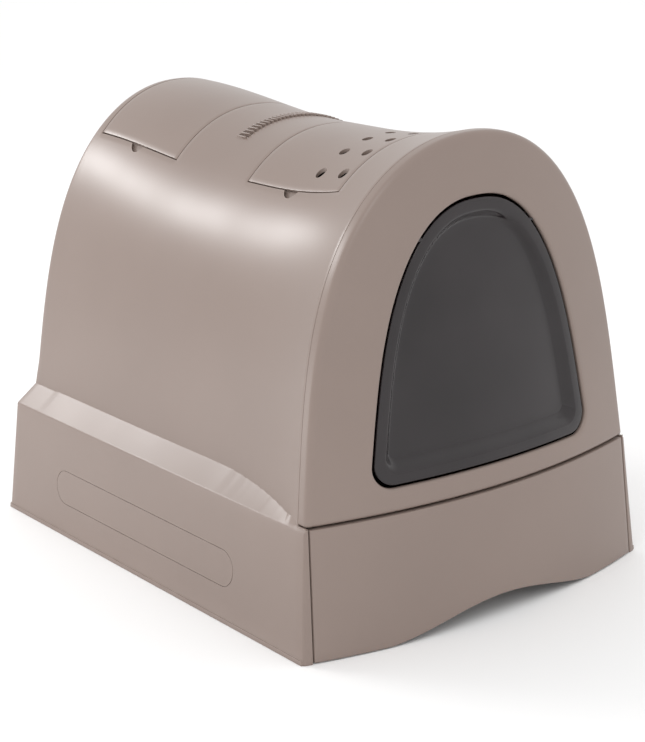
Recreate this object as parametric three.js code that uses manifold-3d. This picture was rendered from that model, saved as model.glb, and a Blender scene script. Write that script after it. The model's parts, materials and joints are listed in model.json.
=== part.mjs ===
// Hooded cat litter box: arched hood, framed swing flap, litter drawer and two roof lids.
// Millimetres. +Z up, the front faces -Y, the origin is under the middle of the footprint.
import * as THREE from "three";
import { mergeVertices } from "three/addons/utils/BufferGeometryUtils.js";
import Module from "manifold-3d";

const wasm = await Module();
wasm.setup();

// ---------- driving dimensions ----------
const WIDTH = 400; // over the foot lips
const DEPTH = 530; // foremost point of the drawer to the foot lip of the rear wall
const WALL = 3; // moulded wall thickness
const GAP = 0.4; // clearance between pieces that stay together
const SEAM = 1.6; // open joint between pieces that move apart
const RUNNING = 0.05; // radial clearance of a pin in its bore

const BASE_HEIGHT = 115.6; // joint between drawer and fascia
const BASE_DRAFT = 9.9; // each base wall leans in by this much over BASE_HEIGHT
const FOOT_LIP = 1.4; // outward lip along the foot of the walls
const FOOT_LIP_HEIGHT = 4;
const STEP_DROP = 2.6; // the sloped step starts this far below BASE_HEIGHT
const STEP_CLIMB = 15.5; // and rises by this much to the hood wall
const HOOD_JOINT = 0.6; // fine joint between the step and the hood that stands on it

const FRONT_BULGE = 32; // the front stands this much further out in the middle than at the sides
const FRONT_LEAN = 0.093; // slope by which the front leans back
const REAR_LEAN = 0.087; // slope by which the rear wall leans in

const FRONT_SETBACK = 13.1; // hood wall behind the foot lip, at the fascia
const REAR_SETBACK = 31; // the same at the rear
const FRONT_RISE = 308.8; // crown above BASE_HEIGHT, at the fascia
const REAR_RISE = 311.2;
const ROOF_DIP = 18; // the roof sags by this much between its ends
const DIP_FROM = 0.466; // share of the length, from the front, where the roof starts to rise to the rear
const FLARE_LENGTH = 0.347; // share of the length over which the hood flares out to the fascia
const FLARE_POWER = 2.27;
const HOOD_CURVE = { sides: 2.13, crown: 3.73, taper: 0.2 };

const RIM_DEPTH = 12; // rim of the fascia, back to its joint with the hood
const RIM_ROUND = 5;
const FASCIA_CORNER = 3;
const TONGUE = 8; // the fascia reaches this far into the hood
const TONGUE_CLEAR = 1; // all round it

const OPENING_HALF = 124.7;
const SILL = 21.4; // foot of the door opening above BASE_HEIGHT
const OPENING_CORNER = 20;
const OPENING_RISE = 213.8; // crown above the sill's corners
const OPENING_CURVE = { sides: 2.394, crown: 3.396, taper: 0.273 };
const OPENING_ROUND = 3;
const OPENING_LIP = 5; // depth of the turned-in edge

const FLAP_GAP = 2.6;
const FLAP_RECESS = 2;
const FLAP_THICK = 2.4;
const FLAP_FLANGE = 10;
const FLAP_DISH = 9; // the flap's middle lies this much deeper than its flange
const FLAP_SLOPE = 11;
const DISH_CENTRE = 0.45; // share of the opening's height where the dish has its middle
const DISH_RINGS = [0.15, 0.35, 0.55, 0.78, 1]; // shares of the dish's width
const PEG_RADIUS = 2;
const PEG_DROP = 30; // hinge line below the crown of the opening
const PEG_SOCKET = 7; // length of each peg inside its socket
const SOCKET_HALF = 5;
const SOCKET_SETBACK = 5; // socket outside the edge of the opening

const LID_HALF = 95;
const LID_GAP = 0.8;
const LEDGE = 6; // each lid rests on this much of its bin's flange
const FLANGE = 5; // flange outside the hole
const LID_LENGTH = 132;
const VENT_LID_SETBACK = 103; // front edge of the vented lid behind the front of the drawer
const SCOOP_LID_SETBACK = 49; // rear edge of the scoop lid in front of the foot of the rear wall
const NOTCH_RADIUS = 12;
const NOTCH_DEPTH = 5.2; // how far the finger notch reaches past the lid's edge
const KNUCKLE_RADIUS = 3.3;
const KNUCKLE_LENGTH = 14;
const KNUCKLE_GAP = 0.7;
const PIN_RADIUS = 1.5;
const VENT_RADIUS = 5;
const VENT_PITCH_X = 26;
const VENT_PITCH_Y = 31;
const VENT_COLUMNS = 7;
const VENT_ROW_SETBACK = 14; // front row of vents behind the front edge of the lid

const BIN_WALL = 2.4;
const SCOOP_BIN_DEPTH = 33.7; // below the roof at the lid's lowest corner
const FILTER_BIN_DEPTH = 14.8;
const SLOT_WIDTH = 6;
const SLOT_PITCH = 15;
const SLOT_MARGIN = 8;
const FILTER_CLEAR = 4;
const FILTER_THICK = 12;

const GRIP_RIBS = 27; // ribbed grip across the roof, midway between the lids
const GRIP_PITCH = 4.5;
const GRIP_RIB = { wide: 2.2, long: 12, high: 1.2 };

const PANEL_GROOVE = { frontSetback: 134, rearSetback: 94, low: 32, high: 66.5, wide: 1, deep: 0.7 };

const FLOOR_THICK = 3;
const FLOOR_RIM = 9;
const RUNNER_INSET = 44; // each runner inside the side of the drawer
const RUNNER_WIDE = 8;
const RUNNER_TOP = 4.6;
const POST_FOOT = 10; // corner post beside the drawer, at the floor
const POST_TOP = 5; // the same at BASE_HEIGHT
const DRAWER_WALL = 2.6;
const PANEL_EDGE = 6; // depth of the drawer front's edges
const DRAWER_LIFT = 1.2; // drawer front above the floor
const WAVE_HIGH = 20; // arched finger recess under the drawer front
const WAVE_HALF = 140;
const GUSSET_X = 95;
const SHELF = 10; // the drawer front hooks this far over the tray's lip
const SHELF_INSET = 5; // sides of the hook behind the sides of the drawer front
const TRAY_SETBACK = 41; // tray behind the foremost point of the drawer front
const TRAY_SIDE_CLEAR = 2;
const TRAY_REAR_CLEAR = 3;
const TRAY_CORNER = 26;
const TRAY_DRAFT = 9;
const TRAY_LIP = 4;
const TRAY_FOOT_ROUND = 4;

const SCOOP = { bowl: 84, wide: 90, deep: 24, grip: 84, gripWide: 26, thick: 2.4, corner: 12 };
const SCOOP_SLOTS = 6;
const SCOOP_DRAFT = 6; // how far the bowl's foot stands in from its rim
const SCOOP_SLOT = { wide: 5, edge: 17, end: 16 }; // width, and room left beside and before the slots

const ARCH_STEPS = 32;
const CORNER_STEPS = 6; // pieces in a quarter turn of a rounded corner
const LENGTH_STEPS = 13;
const LENGTH_CROWDING = 1.5; // sections crowd towards the flared front
const HOOD_START = -0.1; // share of the length where the solid starts, ahead of the front face
const HOOD_SINK = 12; // how far the hood's solid runs down into the base
const BULGE_STEPS = 20;
const FAR = 40; // how far cutting bodies reach past what they cut

// ---------- materials ----------
const finish = (color, roughness, metalness = 0) =>
  new THREE.MeshStandardMaterial({ color, roughness, metalness });
const TAUPE = finish(0x988a80, 0.35);
const TAUPE_INSIDE = finish(0x8b7d74, 0.45);
const CHARCOAL = finish(0x1e1f20, 0.95);
const STEEL = finish(0xb8b8b6, 0.3, 0.9);
const SMOKED = finish(0x3b3739, 0.12);
SMOKED.transparent = true;
SMOKED.opacity = 0.6;

// ---------- solids ----------
function solid(geometry) {
  const bare = geometry.clone();
  bare.deleteAttribute("normal");
  bare.deleteAttribute("uv");
  const merged = mergeVertices(bare, 1e-4);
  const made = (triVerts) =>
    new wasm.Manifold(
      new wasm.Mesh({ numProp: 3, vertProperties: merged.attributes.position.array, triVerts }),
    );
  const triVerts = new Uint32Array(merged.index.array);
  const body = made(triVerts);
  return body.volume() < 0 ? made(triVerts.toReversed()) : body;
}

// A closed body through rings with equal numbers of points. Its ends are capped with a polygon
// or with a centre point ("pole"), unless the last ring joins the first again.
function loft(rings, { caps = "flat", endless = false } = {}) {
  const count = rings[0].length;
  const points = rings.flat();
  const triangles = [];
  rings.forEach((_, r) => {
    if (r === rings.length - 1 && !endless) return;
    const here = r * count;
    const next = ((r + 1) % rings.length) * count;
    for (let i = 0; i < count; i++) {
      const j = (i + 1) % count;
      triangles.push(here + i, here + j, next + j, here + i, next + j, next + i);
    }
  });
  const cap = (ring, offset, turned) => {
    if (caps === "pole") {
      const centre = points.push(meanPoint(ring)) - 1;
      for (let i = 0; i < count; i++) {
        const j = (i + 1) % count;
        triangles.push(offset + (turned ? j : i), offset + (turned ? i : j), centre);
      }
      return;
    }
    const flat = flattened(ring);
    const clockwise = THREE.ShapeUtils.isClockWise(flat);
    for (const [a, b, c] of THREE.ShapeUtils.triangulateShape(flat, [])) {
      const face = clockwise === turned ? [a, b, c] : [a, c, b];
      triangles.push(...face.map((k) => offset + k));
    }
  };
  if (!endless) {
    cap(rings[0], 0, true);
    cap(rings.at(-1), (rings.length - 1) * count, false);
  }
  const geometry = new THREE.BufferGeometry().setFromPoints(points);
  geometry.setIndex(triangles);
  return solid(geometry);
}

function meanPoint(ring) {
  const sum = ring.reduce((total, point) => total.add(point), new THREE.Vector3());
  return sum.divideScalar(ring.length);
}

// A ring's outline as 2-D points, seen along the axis in which it is thinnest.
function flattened(ring) {
  const size = new THREE.Box3().setFromPoints(ring).getSize(new THREE.Vector3());
  const thinnest = Math.min(size.x, size.y, size.z);
  if (thinnest === size.z) return ring.map((p) => new THREE.Vector2(p.x, p.y));
  if (thinnest === size.y) return ring.map((p) => new THREE.Vector2(p.z, p.x));
  return ring.map((p) => new THREE.Vector2(p.y, p.z));
}

function box(x, y, z) {
  const geometry = new THREE.BoxGeometry(x[1] - x[0], y[1] - y[0], z[1] - z[0]);
  geometry.translate((x[0] + x[1]) / 2, (y[0] + y[1]) / 2, (z[0] + z[1]) / 2);
  return solid(geometry);
}

function rod(from, to, radius, sides = 24) {
  const along = new THREE.Vector3().subVectors(to, from);
  const geometry = new THREE.CylinderGeometry(radius, radius, along.length(), sides);
  const upright = new THREE.Vector3(0, 1, 0);
  const turn = new THREE.Quaternion().setFromUnitVectors(upright, along.clone().normalize());
  geometry.applyQuaternion(turn);
  geometry.translate(...new THREE.Vector3().addVectors(from, to).divideScalar(2).toArray());
  return solid(geometry);
}

// A flat outline in X and Z, drawn out along Y.
function alongY(outline, front, rear) {
  const shape = new THREE.Shape(outline.map(([x, z]) => new THREE.Vector2(x, z)));
  const geometry = new THREE.ExtrudeGeometry(shape, { depth: rear - front, bevelEnabled: false });
  geometry.rotateX(Math.PI / 2);
  geometry.translate(0, rear, 0);
  return solid(geometry);
}

const join = (...bodies) => bodies.reduce((all, body) => all.add(body));
const mix = THREE.MathUtils.lerp;
const clamp = THREE.MathUtils.clamp;
const at = (x, y, z) => new THREE.Vector3(x, y, z);
const steps = (count) => Array.from({ length: count + 1 }, (_, i) => i / count);
const both = (make) => join(make(-1), make(1));

// ---------- shared surfaces ----------
const half = WIDTH / 2;
const STEP_LOW = BASE_HEIGHT - STEP_DROP;
const STEP_HIGH = STEP_LOW + STEP_CLIMB;
const OPENING_FOOT = BASE_HEIGHT + SILL;
const frontY = (x, z) => -DEPTH / 2 + FRONT_BULGE * (x / half) ** 2 + FRONT_LEAN * (z - WAVE_HIGH);
const rearY = (z) => DEPTH / 2 - FOOT_LIP - REAR_LEAN * z;
const baseHalf = (z) => half - FOOT_LIP - (BASE_DRAFT * z) / BASE_HEIGHT;
const drawerHalf = (z) => baseHalf(z) - mix(POST_FOOT, POST_TOP, z / BASE_HEIGHT);
const DRAWER_TOP = BASE_HEIGHT - SEAM / 2;
const FASCIA_FOOT = BASE_HEIGHT + SEAM / 2;

// A point of an arch that springs from z = 0, at an angle from 0 (right) to PI (left).
function archPoint(halfWidth, rise, curve, angle) {
  const z = rise * Math.abs(Math.sin(angle)) ** (2 / curve.crown);
  const reach = halfWidth * Math.abs(Math.cos(angle)) ** (2 / curve.sides);
  return [Math.sign(Math.cos(angle)) * reach * (1 - (curve.taper * z) / rise), z];
}

// Half width and rise of the hood at a share of its length, from 0 at the fascia to 1 at the rear.
function hoodArch(share, inset = 0) {
  const flare = clamp(1 - share / FLARE_LENGTH, 0, 1) ** FLARE_POWER;
  const dip = Math.sin((Math.PI / 2) * clamp((1 - share) / (1 - DIP_FROM), 0, 1)) ** 2;
  const halfWidth = mix(half - REAR_SETBACK, half - FRONT_SETBACK, flare);
  const rise = mix(REAR_RISE - ROOF_DIP * dip, FRONT_RISE, flare);
  return [halfWidth - inset, rise - inset];
}

const hoodY = (share, x, z, rearInset = 0) =>
  mix(frontY(x, z) + RIM_DEPTH, rearY(z) - rearInset, share);

// Everything inside the hood's outer face, moved inwards by inset.
function hoodBody(inset = 0) {
  const foot = STEP_LOW - HOOD_SINK;
  const shares = [HOOD_START, ...steps(LENGTH_STEPS).map((s) => s ** LENGTH_CROWDING)];
  return loft(
    shares.map((share) => {
      const [halfWidth, rise] = hoodArch(share, inset);
      const arch = steps(ARCH_STEPS).map((s) => archPoint(halfWidth, rise, HOOD_CURVE, Math.PI * s));
      const outline = arch.map(([x, z]) => [x, z + BASE_HEIGHT]);
      outline.push([-halfWidth, foot], [halfWidth, foot]);
      return outline.map(([x, z]) => at(x, hoodY(share, x, z, inset), z));
    }),
  );
}

// Everything inside the base walls and the sloped step, moved inwards by inset.
function baseBody(inset = 0) {
  const run = baseHalf(STEP_LOW) - (half - REAR_SETBACK);
  const climb = STEP_HIGH - STEP_LOW;
  const slope = climb / run;
  const drop = inset * (Math.hypot(1, slope) - slope);
  const low = STEP_LOW - drop;
  const foot = inset ? -FAR : 0;
  const right = [
    [baseHalf(foot) - inset, foot],
    [baseHalf(low) - inset, low],
    [half - REAR_SETBACK - inset, STEP_HIGH - inset * Math.hypot(1, slope) + inset * slope],
  ];
  const outline = [...right, ...right.toReversed().map(([x, z]) => [-x, z])];
  return loft([
    outline.map(([x, z]) => at(x, -DEPTH / 2 - FAR, z)),
    outline.map(([x, z]) => at(x, rearY(z) - inset, z)),
  ]);
}

// Everything in front of the front face moved back by depth, between two heights.
function inFrontOf(depth, low = -FAR, high = BASE_HEIGHT + REAR_RISE + FAR) {
  const wide = half + FAR;
  const ring = (z) => [
    at(-wide, -DEPTH, z),
    at(wide, -DEPTH, z),
    ...steps(BULGE_STEPS).map((s) => {
      const x = mix(wide, -wide, s);
      return at(x, frontY(x, z) + depth, z);
    }),
  ];
  return loft([ring(low), ring(high)]);
}

// The drawer front's outline drawn out along Y, grown by margin at its sides.
function drawerBay(margin, low, high, front, rear) {
  const corner = (side, z) => [side * (drawerHalf(z) + margin), z];
  return alongY([corner(-1, low), corner(1, low), corner(1, high), corner(-1, high)], front, rear);
}

// Height of the roof's outer face.
function roofZ(x, y) {
  let z = BASE_HEIGHT + REAR_RISE;
  for (let turn = 0; turn < 12; turn++) {
    const front = frontY(x, z) + RIM_DEPTH;
    const [halfWidth, rise] = hoodArch((y - front) / (rearY(z) - front));
    let low = 0;
    let high = Math.PI / 2;
    for (let i = 0; i < 40; i++) {
      const angle = (low + high) / 2;
      if (archPoint(halfWidth, rise, HOOD_CURVE, angle)[0] > Math.abs(x)) low = angle;
      else high = angle;
    }
    z = BASE_HEIGHT + archPoint(halfWidth, rise, HOOD_CURVE, low)[1];
  }
  return z;
}

// ---------- roof lids, their hinges and bins ----------
const lidFrom = (front) => ({ front, rear: front + LID_LENGTH });
const VENT_LID = lidFrom(-DEPTH / 2 + VENT_LID_SETBACK);
const SCOOP_LID = lidFrom(DEPTH / 2 - SCOOP_LID_SETBACK - LID_LENGTH);
const GRIP_Y = mix(VENT_LID.rear, SCOOP_LID.front, 0.5);
const lowestEdge = (lid) => Math.min(roofZ(LID_HALF, lid.front), roofZ(LID_HALF, lid.rear));
const SCOOP_BIN_FLOOR = lowestEdge(SCOOP_LID) - SCOOP_BIN_DEPTH;
const FILTER_BIN_FLOOR = lowestEdge(VENT_LID) - FILTER_BIN_DEPTH;
const hinge = (lid) => ({
  front: at(LID_HALF, lid.front, roofZ(LID_HALF, lid.front)),
  rear: at(LID_HALF, lid.rear, roofZ(LID_HALF, lid.rear)),
});

// A rod on a lid's hinge line, from one distance behind the lid's front edge to another.
function onHinge(lid, from, to, radius) {
  const { front, rear } = hinge(lid);
  const length = front.distanceTo(rear);
  const point = (distance) => new THREE.Vector3().lerpVectors(front, rear, distance / length);
  return rod(point(from), point(to), radius);
}

const hingeLength = (lid) => hinge(lid).front.distanceTo(hinge(lid).rear);
const SKY = [BASE_HEIGHT + OPENING_RISE / 2, BASE_HEIGHT + REAR_RISE + FAR];

function lidHole(lid) {
  const hole = box([-LID_HALF, LID_HALF], [lid.front, lid.rear], SKY);
  const y = mix(lid.front, lid.rear, 0.5);
  const notchX = NOTCH_RADIUS - NOTCH_DEPTH - LID_HALF;
  const notch = rod(at(notchX, y, SKY[0]), at(notchX, y, SKY[1]), NOTCH_RADIUS, 32);
  const barrel = onHinge(
    lid,
    KNUCKLE_LENGTH,
    hingeLength(lid) - KNUCKLE_LENGTH,
    KNUCKLE_RADIUS + KNUCKLE_GAP,
  );
  return join(hole, notch, barrel);
}

function hoodKnuckles(lid) {
  const length = hingeLength(lid);
  return join(
    onHinge(lid, -WALL, KNUCKLE_LENGTH - KNUCKLE_GAP, KNUCKLE_RADIUS),
    onHinge(lid, length - KNUCKLE_LENGTH + KNUCKLE_GAP, length + WALL, KNUCKLE_RADIUS),
  );
}

const hingeBore = (lid) =>
  onHinge(lid, -WALL - GAP, hingeLength(lid) + WALL + GAP, PIN_RADIUS + RUNNING);
const hingePin = (lid) => onHinge(lid, -WALL, hingeLength(lid) + WALL, PIN_RADIUS);

function lidPlate(lid) {
  const length = hingeLength(lid);
  const skin = hoodBody().subtract(hoodBody(WALL));
  const inset = KNUCKLE_LENGTH + KNUCKLE_GAP;
  const reach = KNUCKLE_RADIUS + KNUCKLE_GAP;
  const plate = box([-LID_HALF + LID_GAP, LID_HALF - reach], [lid.front + LID_GAP, lid.rear - LID_GAP], SKY);
  const middle = [lid.front + inset, lid.rear - inset];
  const shoulder = box([LID_HALF - reach * 2, LID_HALF - KNUCKLE_RADIUS], middle, SKY);
  const web = box([LID_HALF - reach, LID_HALF], middle, SKY).intersect(
    onHinge(lid, 0, length, KNUCKLE_RADIUS + KNUCKLE_GAP / 2),
  );
  const barrel = onHinge(lid, inset, length - inset, KNUCKLE_RADIUS);
  return skin.intersect(join(plate, shoulder, web)).add(barrel).subtract(hingeBore(lid));
}

function bin(lid, floor) {
  const under = hoodBody(WALL + GAP);
  const inner = LID_HALF - LEDGE;
  const outer = inner + BIN_WALL;
  const flange = under
    .subtract(hoodBody(WALL + GAP + BIN_WALL))
    .intersect(
      box([-LID_HALF - FLANGE, LID_HALF + FLANGE], [lid.front - FLANGE, lid.rear + FLANGE], SKY),
    );
  const walls = under.intersect(
    box(
      [-outer, outer],
      [lid.front + LEDGE - BIN_WALL, lid.rear - LEDGE + BIN_WALL],
      [floor, SKY[1]],
    ),
  );
  const room = box([-inner, inner], [lid.front + LEDGE, lid.rear - LEDGE], [floor + BIN_WALL, SKY[1]]);
  const barrel = onHinge(lid, -FAR / 2, hingeLength(lid) + FAR / 2, KNUCKLE_RADIUS + KNUCKLE_GAP);
  return flange.add(walls).subtract(room).subtract(barrel);
}

// ---------- the hood and its base walls ----------
const lipSlab = () => {
  const lip = [
    at(-half, -DEPTH / 2 - FAR, 0),
    at(half, -DEPTH / 2 - FAR, 0),
    at(half, DEPTH / 2, 0),
    at(-half, DEPTH / 2, 0),
  ];
  return loft([lip, lip.map((p) => p.clone().setZ(FOOT_LIP_HEIGHT))]);
};

// Hood, step and base walls as one thin shell, open below and in front.
function wholeShell() {
  const outside = join(lipSlab(), baseBody(), hoodBody())
    .subtract(inFrontOf(0))
    .subtract(inFrontOf(RIM_DEPTH + GAP, FASCIA_FOOT - GAP));
  const room = baseBody(WALL).subtract(inFrontOf(WALL, -FAR * 2)).add(hoodBody(WALL));
  const bay = drawerBay(SEAM, -FAR, FASCIA_FOOT, -DEPTH, 0).intersect(
    inFrontOf(PANEL_EDGE + SEAM, -FAR * 2),
  );
  return outside.subtract(room).subtract(bay);
}

const baseWalls = () =>
  wholeShell().intersect(join(lipSlab(), baseBody())).subtract(both(panelGroove));

function hoodShell() {
  let shell = wholeShell()
    .subtract(join(lipSlab(), baseBody(-HOOD_JOINT)))
    .subtract(inFrontOf(RIM_DEPTH + GAP, 0));
  for (const lid of [VENT_LID, SCOOP_LID]) {
    shell = shell.subtract(lidHole(lid)).add(hoodKnuckles(lid)).subtract(hingeBore(lid));
  }
  return shell.add(gripRibs());
}

function gripRibs() {
  const ribs = steps(GRIP_RIBS - 1).map((share) => {
    const x = (share - 0.5) * (GRIP_RIBS - 1) * GRIP_PITCH;
    const z = roofZ(x, GRIP_Y);
    const lean = Math.atan2(roofZ(x - 1, GRIP_Y) - roofZ(x + 1, GRIP_Y), 2);
    const geometry = new THREE.BoxGeometry(GRIP_RIB.wide, GRIP_RIB.long, GRIP_RIB.high * 2);
    geometry.rotateY(lean);
    geometry.translate(x, GRIP_Y, z);
    return solid(geometry);
  });
  return join(...ribs);
}

// Shallow round-ended line on a base wall; side is -1 or 1.
function panelGroove(side) {
  const { frontSetback, rearSetback, low, high, wide, deep } = PANEL_GROOVE;
  const front = -DEPTH / 2 + frontSetback;
  const rear = DEPTH / 2 - rearSetback;
  const radius = (high - low) / 2;
  const outline = (shrink) => {
    const shape = new THREE.Shape();
    shape.absarc(front + radius, low + radius, radius - shrink, Math.PI / 2, (Math.PI * 3) / 2);
    shape.absarc(rear - radius, low + radius, radius - shrink, -Math.PI / 2, Math.PI / 2);
    return shape;
  };
  const ring = outline(0);
  ring.holes.push(outline(wide));
  const geometry = new THREE.ExtrudeGeometry(ring, {
    depth: FAR,
    bevelEnabled: false,
    curveSegments: 8,
  });
  geometry.rotateX(Math.PI / 2);
  geometry.rotateZ(Math.PI / 2);
  geometry.translate(side > 0 ? half - FAR / 2 : -half - FAR / 2, 0, 0);
  return solid(geometry).subtract(baseBody(deep));
}

// ---------- fascia and flap ----------
// A closed outline around an arch with a straight foot and rounded lower corners: [x, z] pairs from
// the right end of the arch over the crown and back along the foot.
function archOutline({ halfWidth, rise, curve, spring, foot, corner }) {
  const cornerZ = foot + corner;
  const first = Math.asin((Math.max(cornerZ - spring, 0) / rise) ** (curve.crown / 2));
  const arch = steps(ARCH_STEPS).map((s) => {
    const angle = mix(first, Math.PI - first, s);
    return archPoint(halfWidth, rise, curve, angle);
  });
  const side = arch[0][0];
  const outline = arch.map(([x, z]) => [x, z + spring]);
  outline[0][1] = cornerZ;
  outline.at(-1)[1] = cornerZ;
  const corners = steps(CORNER_STEPS).map((s) => {
    const turn = (Math.PI / 2) * s;
    return [corner * Math.cos(turn), -corner * Math.sin(turn)];
  });
  const centre = side - corner;
  for (const [x, z] of corners.slice(1)) outline.push([-centre - x, cornerZ + z]);
  for (const s of steps(BULGE_STEPS / 2).slice(1, -1)) outline.push([mix(-centre, centre, s), foot]);
  for (const [x, z] of corners.toReversed().slice(0, -1)) outline.push([centre + x, cornerZ + z]);
  return outline;
}

// The fascia's outer outline, moved inwards by inset, as far behind the front face as depth.
function fasciaOutline(inset, depth) {
  const length = rearY(BASE_HEIGHT) - frontY(0, BASE_HEIGHT) - RIM_DEPTH;
  const [halfWidth, rise] = hoodArch((depth - RIM_DEPTH) / length, inset);
  return archOutline({
    halfWidth,
    rise,
    curve: HOOD_CURVE,
    spring: BASE_HEIGHT,
    foot: FASCIA_FOOT + inset,
    corner: Math.max(FASCIA_CORNER - inset, 1),
  });
}

// The door opening's outline, moved inwards by inset.
const openingOutline = (inset) =>
  archOutline({
    halfWidth: OPENING_HALF - inset,
    rise: OPENING_RISE - inset,
    curve: OPENING_CURVE,
    spring: OPENING_FOOT + OPENING_CORNER,
    foot: OPENING_FOOT + inset,
    corner: OPENING_CORNER - inset,
  });

const onFront = (outline, depth) => outline.map(([x, z]) => at(x, frontY(x, z) + depth, z));

const blend = (from, to, share) =>
  from.map(([x, z], i) => [mix(x, to[i][0], share), mix(z, to[i][1], share)]);

// Half width of the door opening at a height.
function openingHalfAt(z) {
  let low = 0;
  let high = Math.PI / 2;
  for (let i = 0; i < 40; i++) {
    const angle = (low + high) / 2;
    const height = archPoint(OPENING_HALF, OPENING_RISE, OPENING_CURVE, angle)[1];
    if (height + OPENING_FOOT + OPENING_CORNER < z) low = angle;
    else high = angle;
  }
  return archPoint(OPENING_HALF, OPENING_RISE, OPENING_CURVE, low)[0];
}

const PEG_Z = OPENING_FOOT + OPENING_CORNER + OPENING_RISE - PEG_DROP;
const PEG_EDGE = openingHalfAt(PEG_Z);
const PEG_Y = frontY(PEG_EDGE, PEG_Z) + FLAP_RECESS + PEG_RADIUS;
const SOCKET_X = PEG_EDGE + SOCKET_SETBACK;
const pegLine = (side, from, to, radius) =>
  rod(at(side * from, PEG_Y, PEG_Z), at(side * to, PEG_Y, PEG_Z), radius);

function frontFascia() {
  const round = RIM_ROUND * (1 - Math.SQRT1_2);
  const lip = OPENING_ROUND * (1 - Math.SQRT1_2);
  const face = fasciaOutline(RIM_ROUND, 0);
  const edge = openingOutline(-OPENING_ROUND);
  const faceBack = fasciaOutline(WALL * 2, WALL);
  const edgeBack = openingOutline(-OPENING_ROUND);
  const shares = [0, 0.33, 0.66, 1];
  const frame = loft(
    [
      onFront(fasciaOutline(0, RIM_DEPTH), RIM_DEPTH),
      onFront(fasciaOutline(0, 0), RIM_ROUND),
      onFront(fasciaOutline(round, 0), round),
      ...shares.map((s) => onFront(blend(face, edge, s), 0)),
      onFront(openingOutline(-lip), lip),
      onFront(openingOutline(0), OPENING_ROUND),
      onFront(openingOutline(0), OPENING_LIP),
      onFront(openingOutline(-OPENING_ROUND), OPENING_LIP),
      ...shares.map((s) => onFront(blend(edgeBack, faceBack, s), WALL)),
      onFront(fasciaOutline(WALL * 2, RIM_DEPTH + TONGUE), RIM_DEPTH + TONGUE),
      onFront(fasciaOutline(WALL + TONGUE_CLEAR, RIM_DEPTH + TONGUE), RIM_DEPTH + TONGUE),
      onFront(fasciaOutline(WALL + TONGUE_CLEAR, RIM_DEPTH), RIM_DEPTH),
    ],
    { endless: true },
  );
  const socket = (side) =>
    box(
      [SOCKET_X, SOCKET_X + PEG_SOCKET + WALL].map((x) => side * x).sort((a, b) => a - b),
      [PEG_Y - PEG_RADIUS, PEG_Y + PEG_RADIUS + WALL],
      [PEG_Z - SOCKET_HALF, PEG_Z + SOCKET_HALF],
    );
  const bore = (side) => pegLine(side, 0, SOCKET_X + PEG_SOCKET + GAP, PEG_RADIUS + RUNNING);
  return frame.add(both(socket)).subtract(both(bore));
}

function doorFlap() {
  const outline = (inset) => openingOutline(FLAP_GAP + inset);
  const dish = outline(FLAP_FLANGE + FLAP_SLOPE);
  const centre = [0, OPENING_FOOT + (OPENING_CORNER + OPENING_RISE) * DISH_CENTRE];
  const shrink = (share) => dish.map(([x, z]) => [mix(centre[0], x, share), mix(centre[1], z, share)]);
  const front = FLAP_RECESS;
  const rear = FLAP_RECESS + FLAP_THICK;
  const plate = loft(
    [
      ...DISH_RINGS.map((s) => onFront(shrink(s), front + FLAP_DISH)),
      onFront(outline(FLAP_FLANGE), front),
      onFront(outline(0), front),
      onFront(outline(0), rear),
      onFront(outline(FLAP_FLANGE + 1), rear),
      ...DISH_RINGS.toReversed().map((s) => onFront(shrink(s), rear + FLAP_DISH)),
    ],
    { caps: "pole" },
  );
  const root = PEG_EDGE - FLAP_GAP - FLAP_FLANGE;
  return plate.add(both((side) => pegLine(side, root, SOCKET_X + PEG_SOCKET, PEG_RADIUS)));
}

// ---------- drawer and floor ----------
function roundedRing(halfWidth, front, rear, corner, z) {
  const points = [];
  [
    [halfWidth - corner, rear - corner, 0],
    [-halfWidth + corner, rear - corner, 1],
    [-halfWidth + corner, front + corner, 2],
    [halfWidth - corner, front + corner, 3],
  ].forEach(([x, y, quarter]) => {
    for (const s of steps(CORNER_STEPS)) {
      const angle = (quarter + s) * (Math.PI / 2);
      points.push(at(x + corner * Math.cos(angle), y + corner * Math.sin(angle), z));
    }
  });
  return points;
}

const TRAY_FRONT = -DEPTH / 2 + TRAY_SETBACK + GAP;
const TRAY_TOP = DRAWER_TOP - DRAWER_WALL - GAP;
const TRAY_FOOT = RUNNER_TOP + GAP;

function drawerTray() {
  const lipHalf = drawerHalf(BASE_HEIGHT) - TRAY_SIDE_CLEAR;
  const lipRear = rearY(BASE_HEIGHT) - WALL - TRAY_REAR_CLEAR;
  const ring = (inset, z) =>
    roundedRing(lipHalf - inset, TRAY_FRONT + inset, lipRear - inset, TRAY_CORNER, z);
  const foot = TRAY_LIP + TRAY_DRAFT;
  return loft([
    ring(foot + TRAY_FOOT_ROUND, TRAY_FOOT),
    ring(foot, TRAY_FOOT + TRAY_FOOT_ROUND),
    ring(TRAY_LIP, TRAY_TOP - DRAWER_WALL),
    ring(0, TRAY_TOP - DRAWER_WALL),
    ring(0, TRAY_TOP),
    ring(TRAY_LIP + DRAWER_WALL, TRAY_TOP),
    ring(foot + DRAWER_WALL, TRAY_FOOT + DRAWER_WALL + TRAY_FOOT_ROUND),
    ring(foot + DRAWER_WALL + TRAY_FOOT_ROUND, TRAY_FOOT + DRAWER_WALL),
  ]);
}

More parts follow.
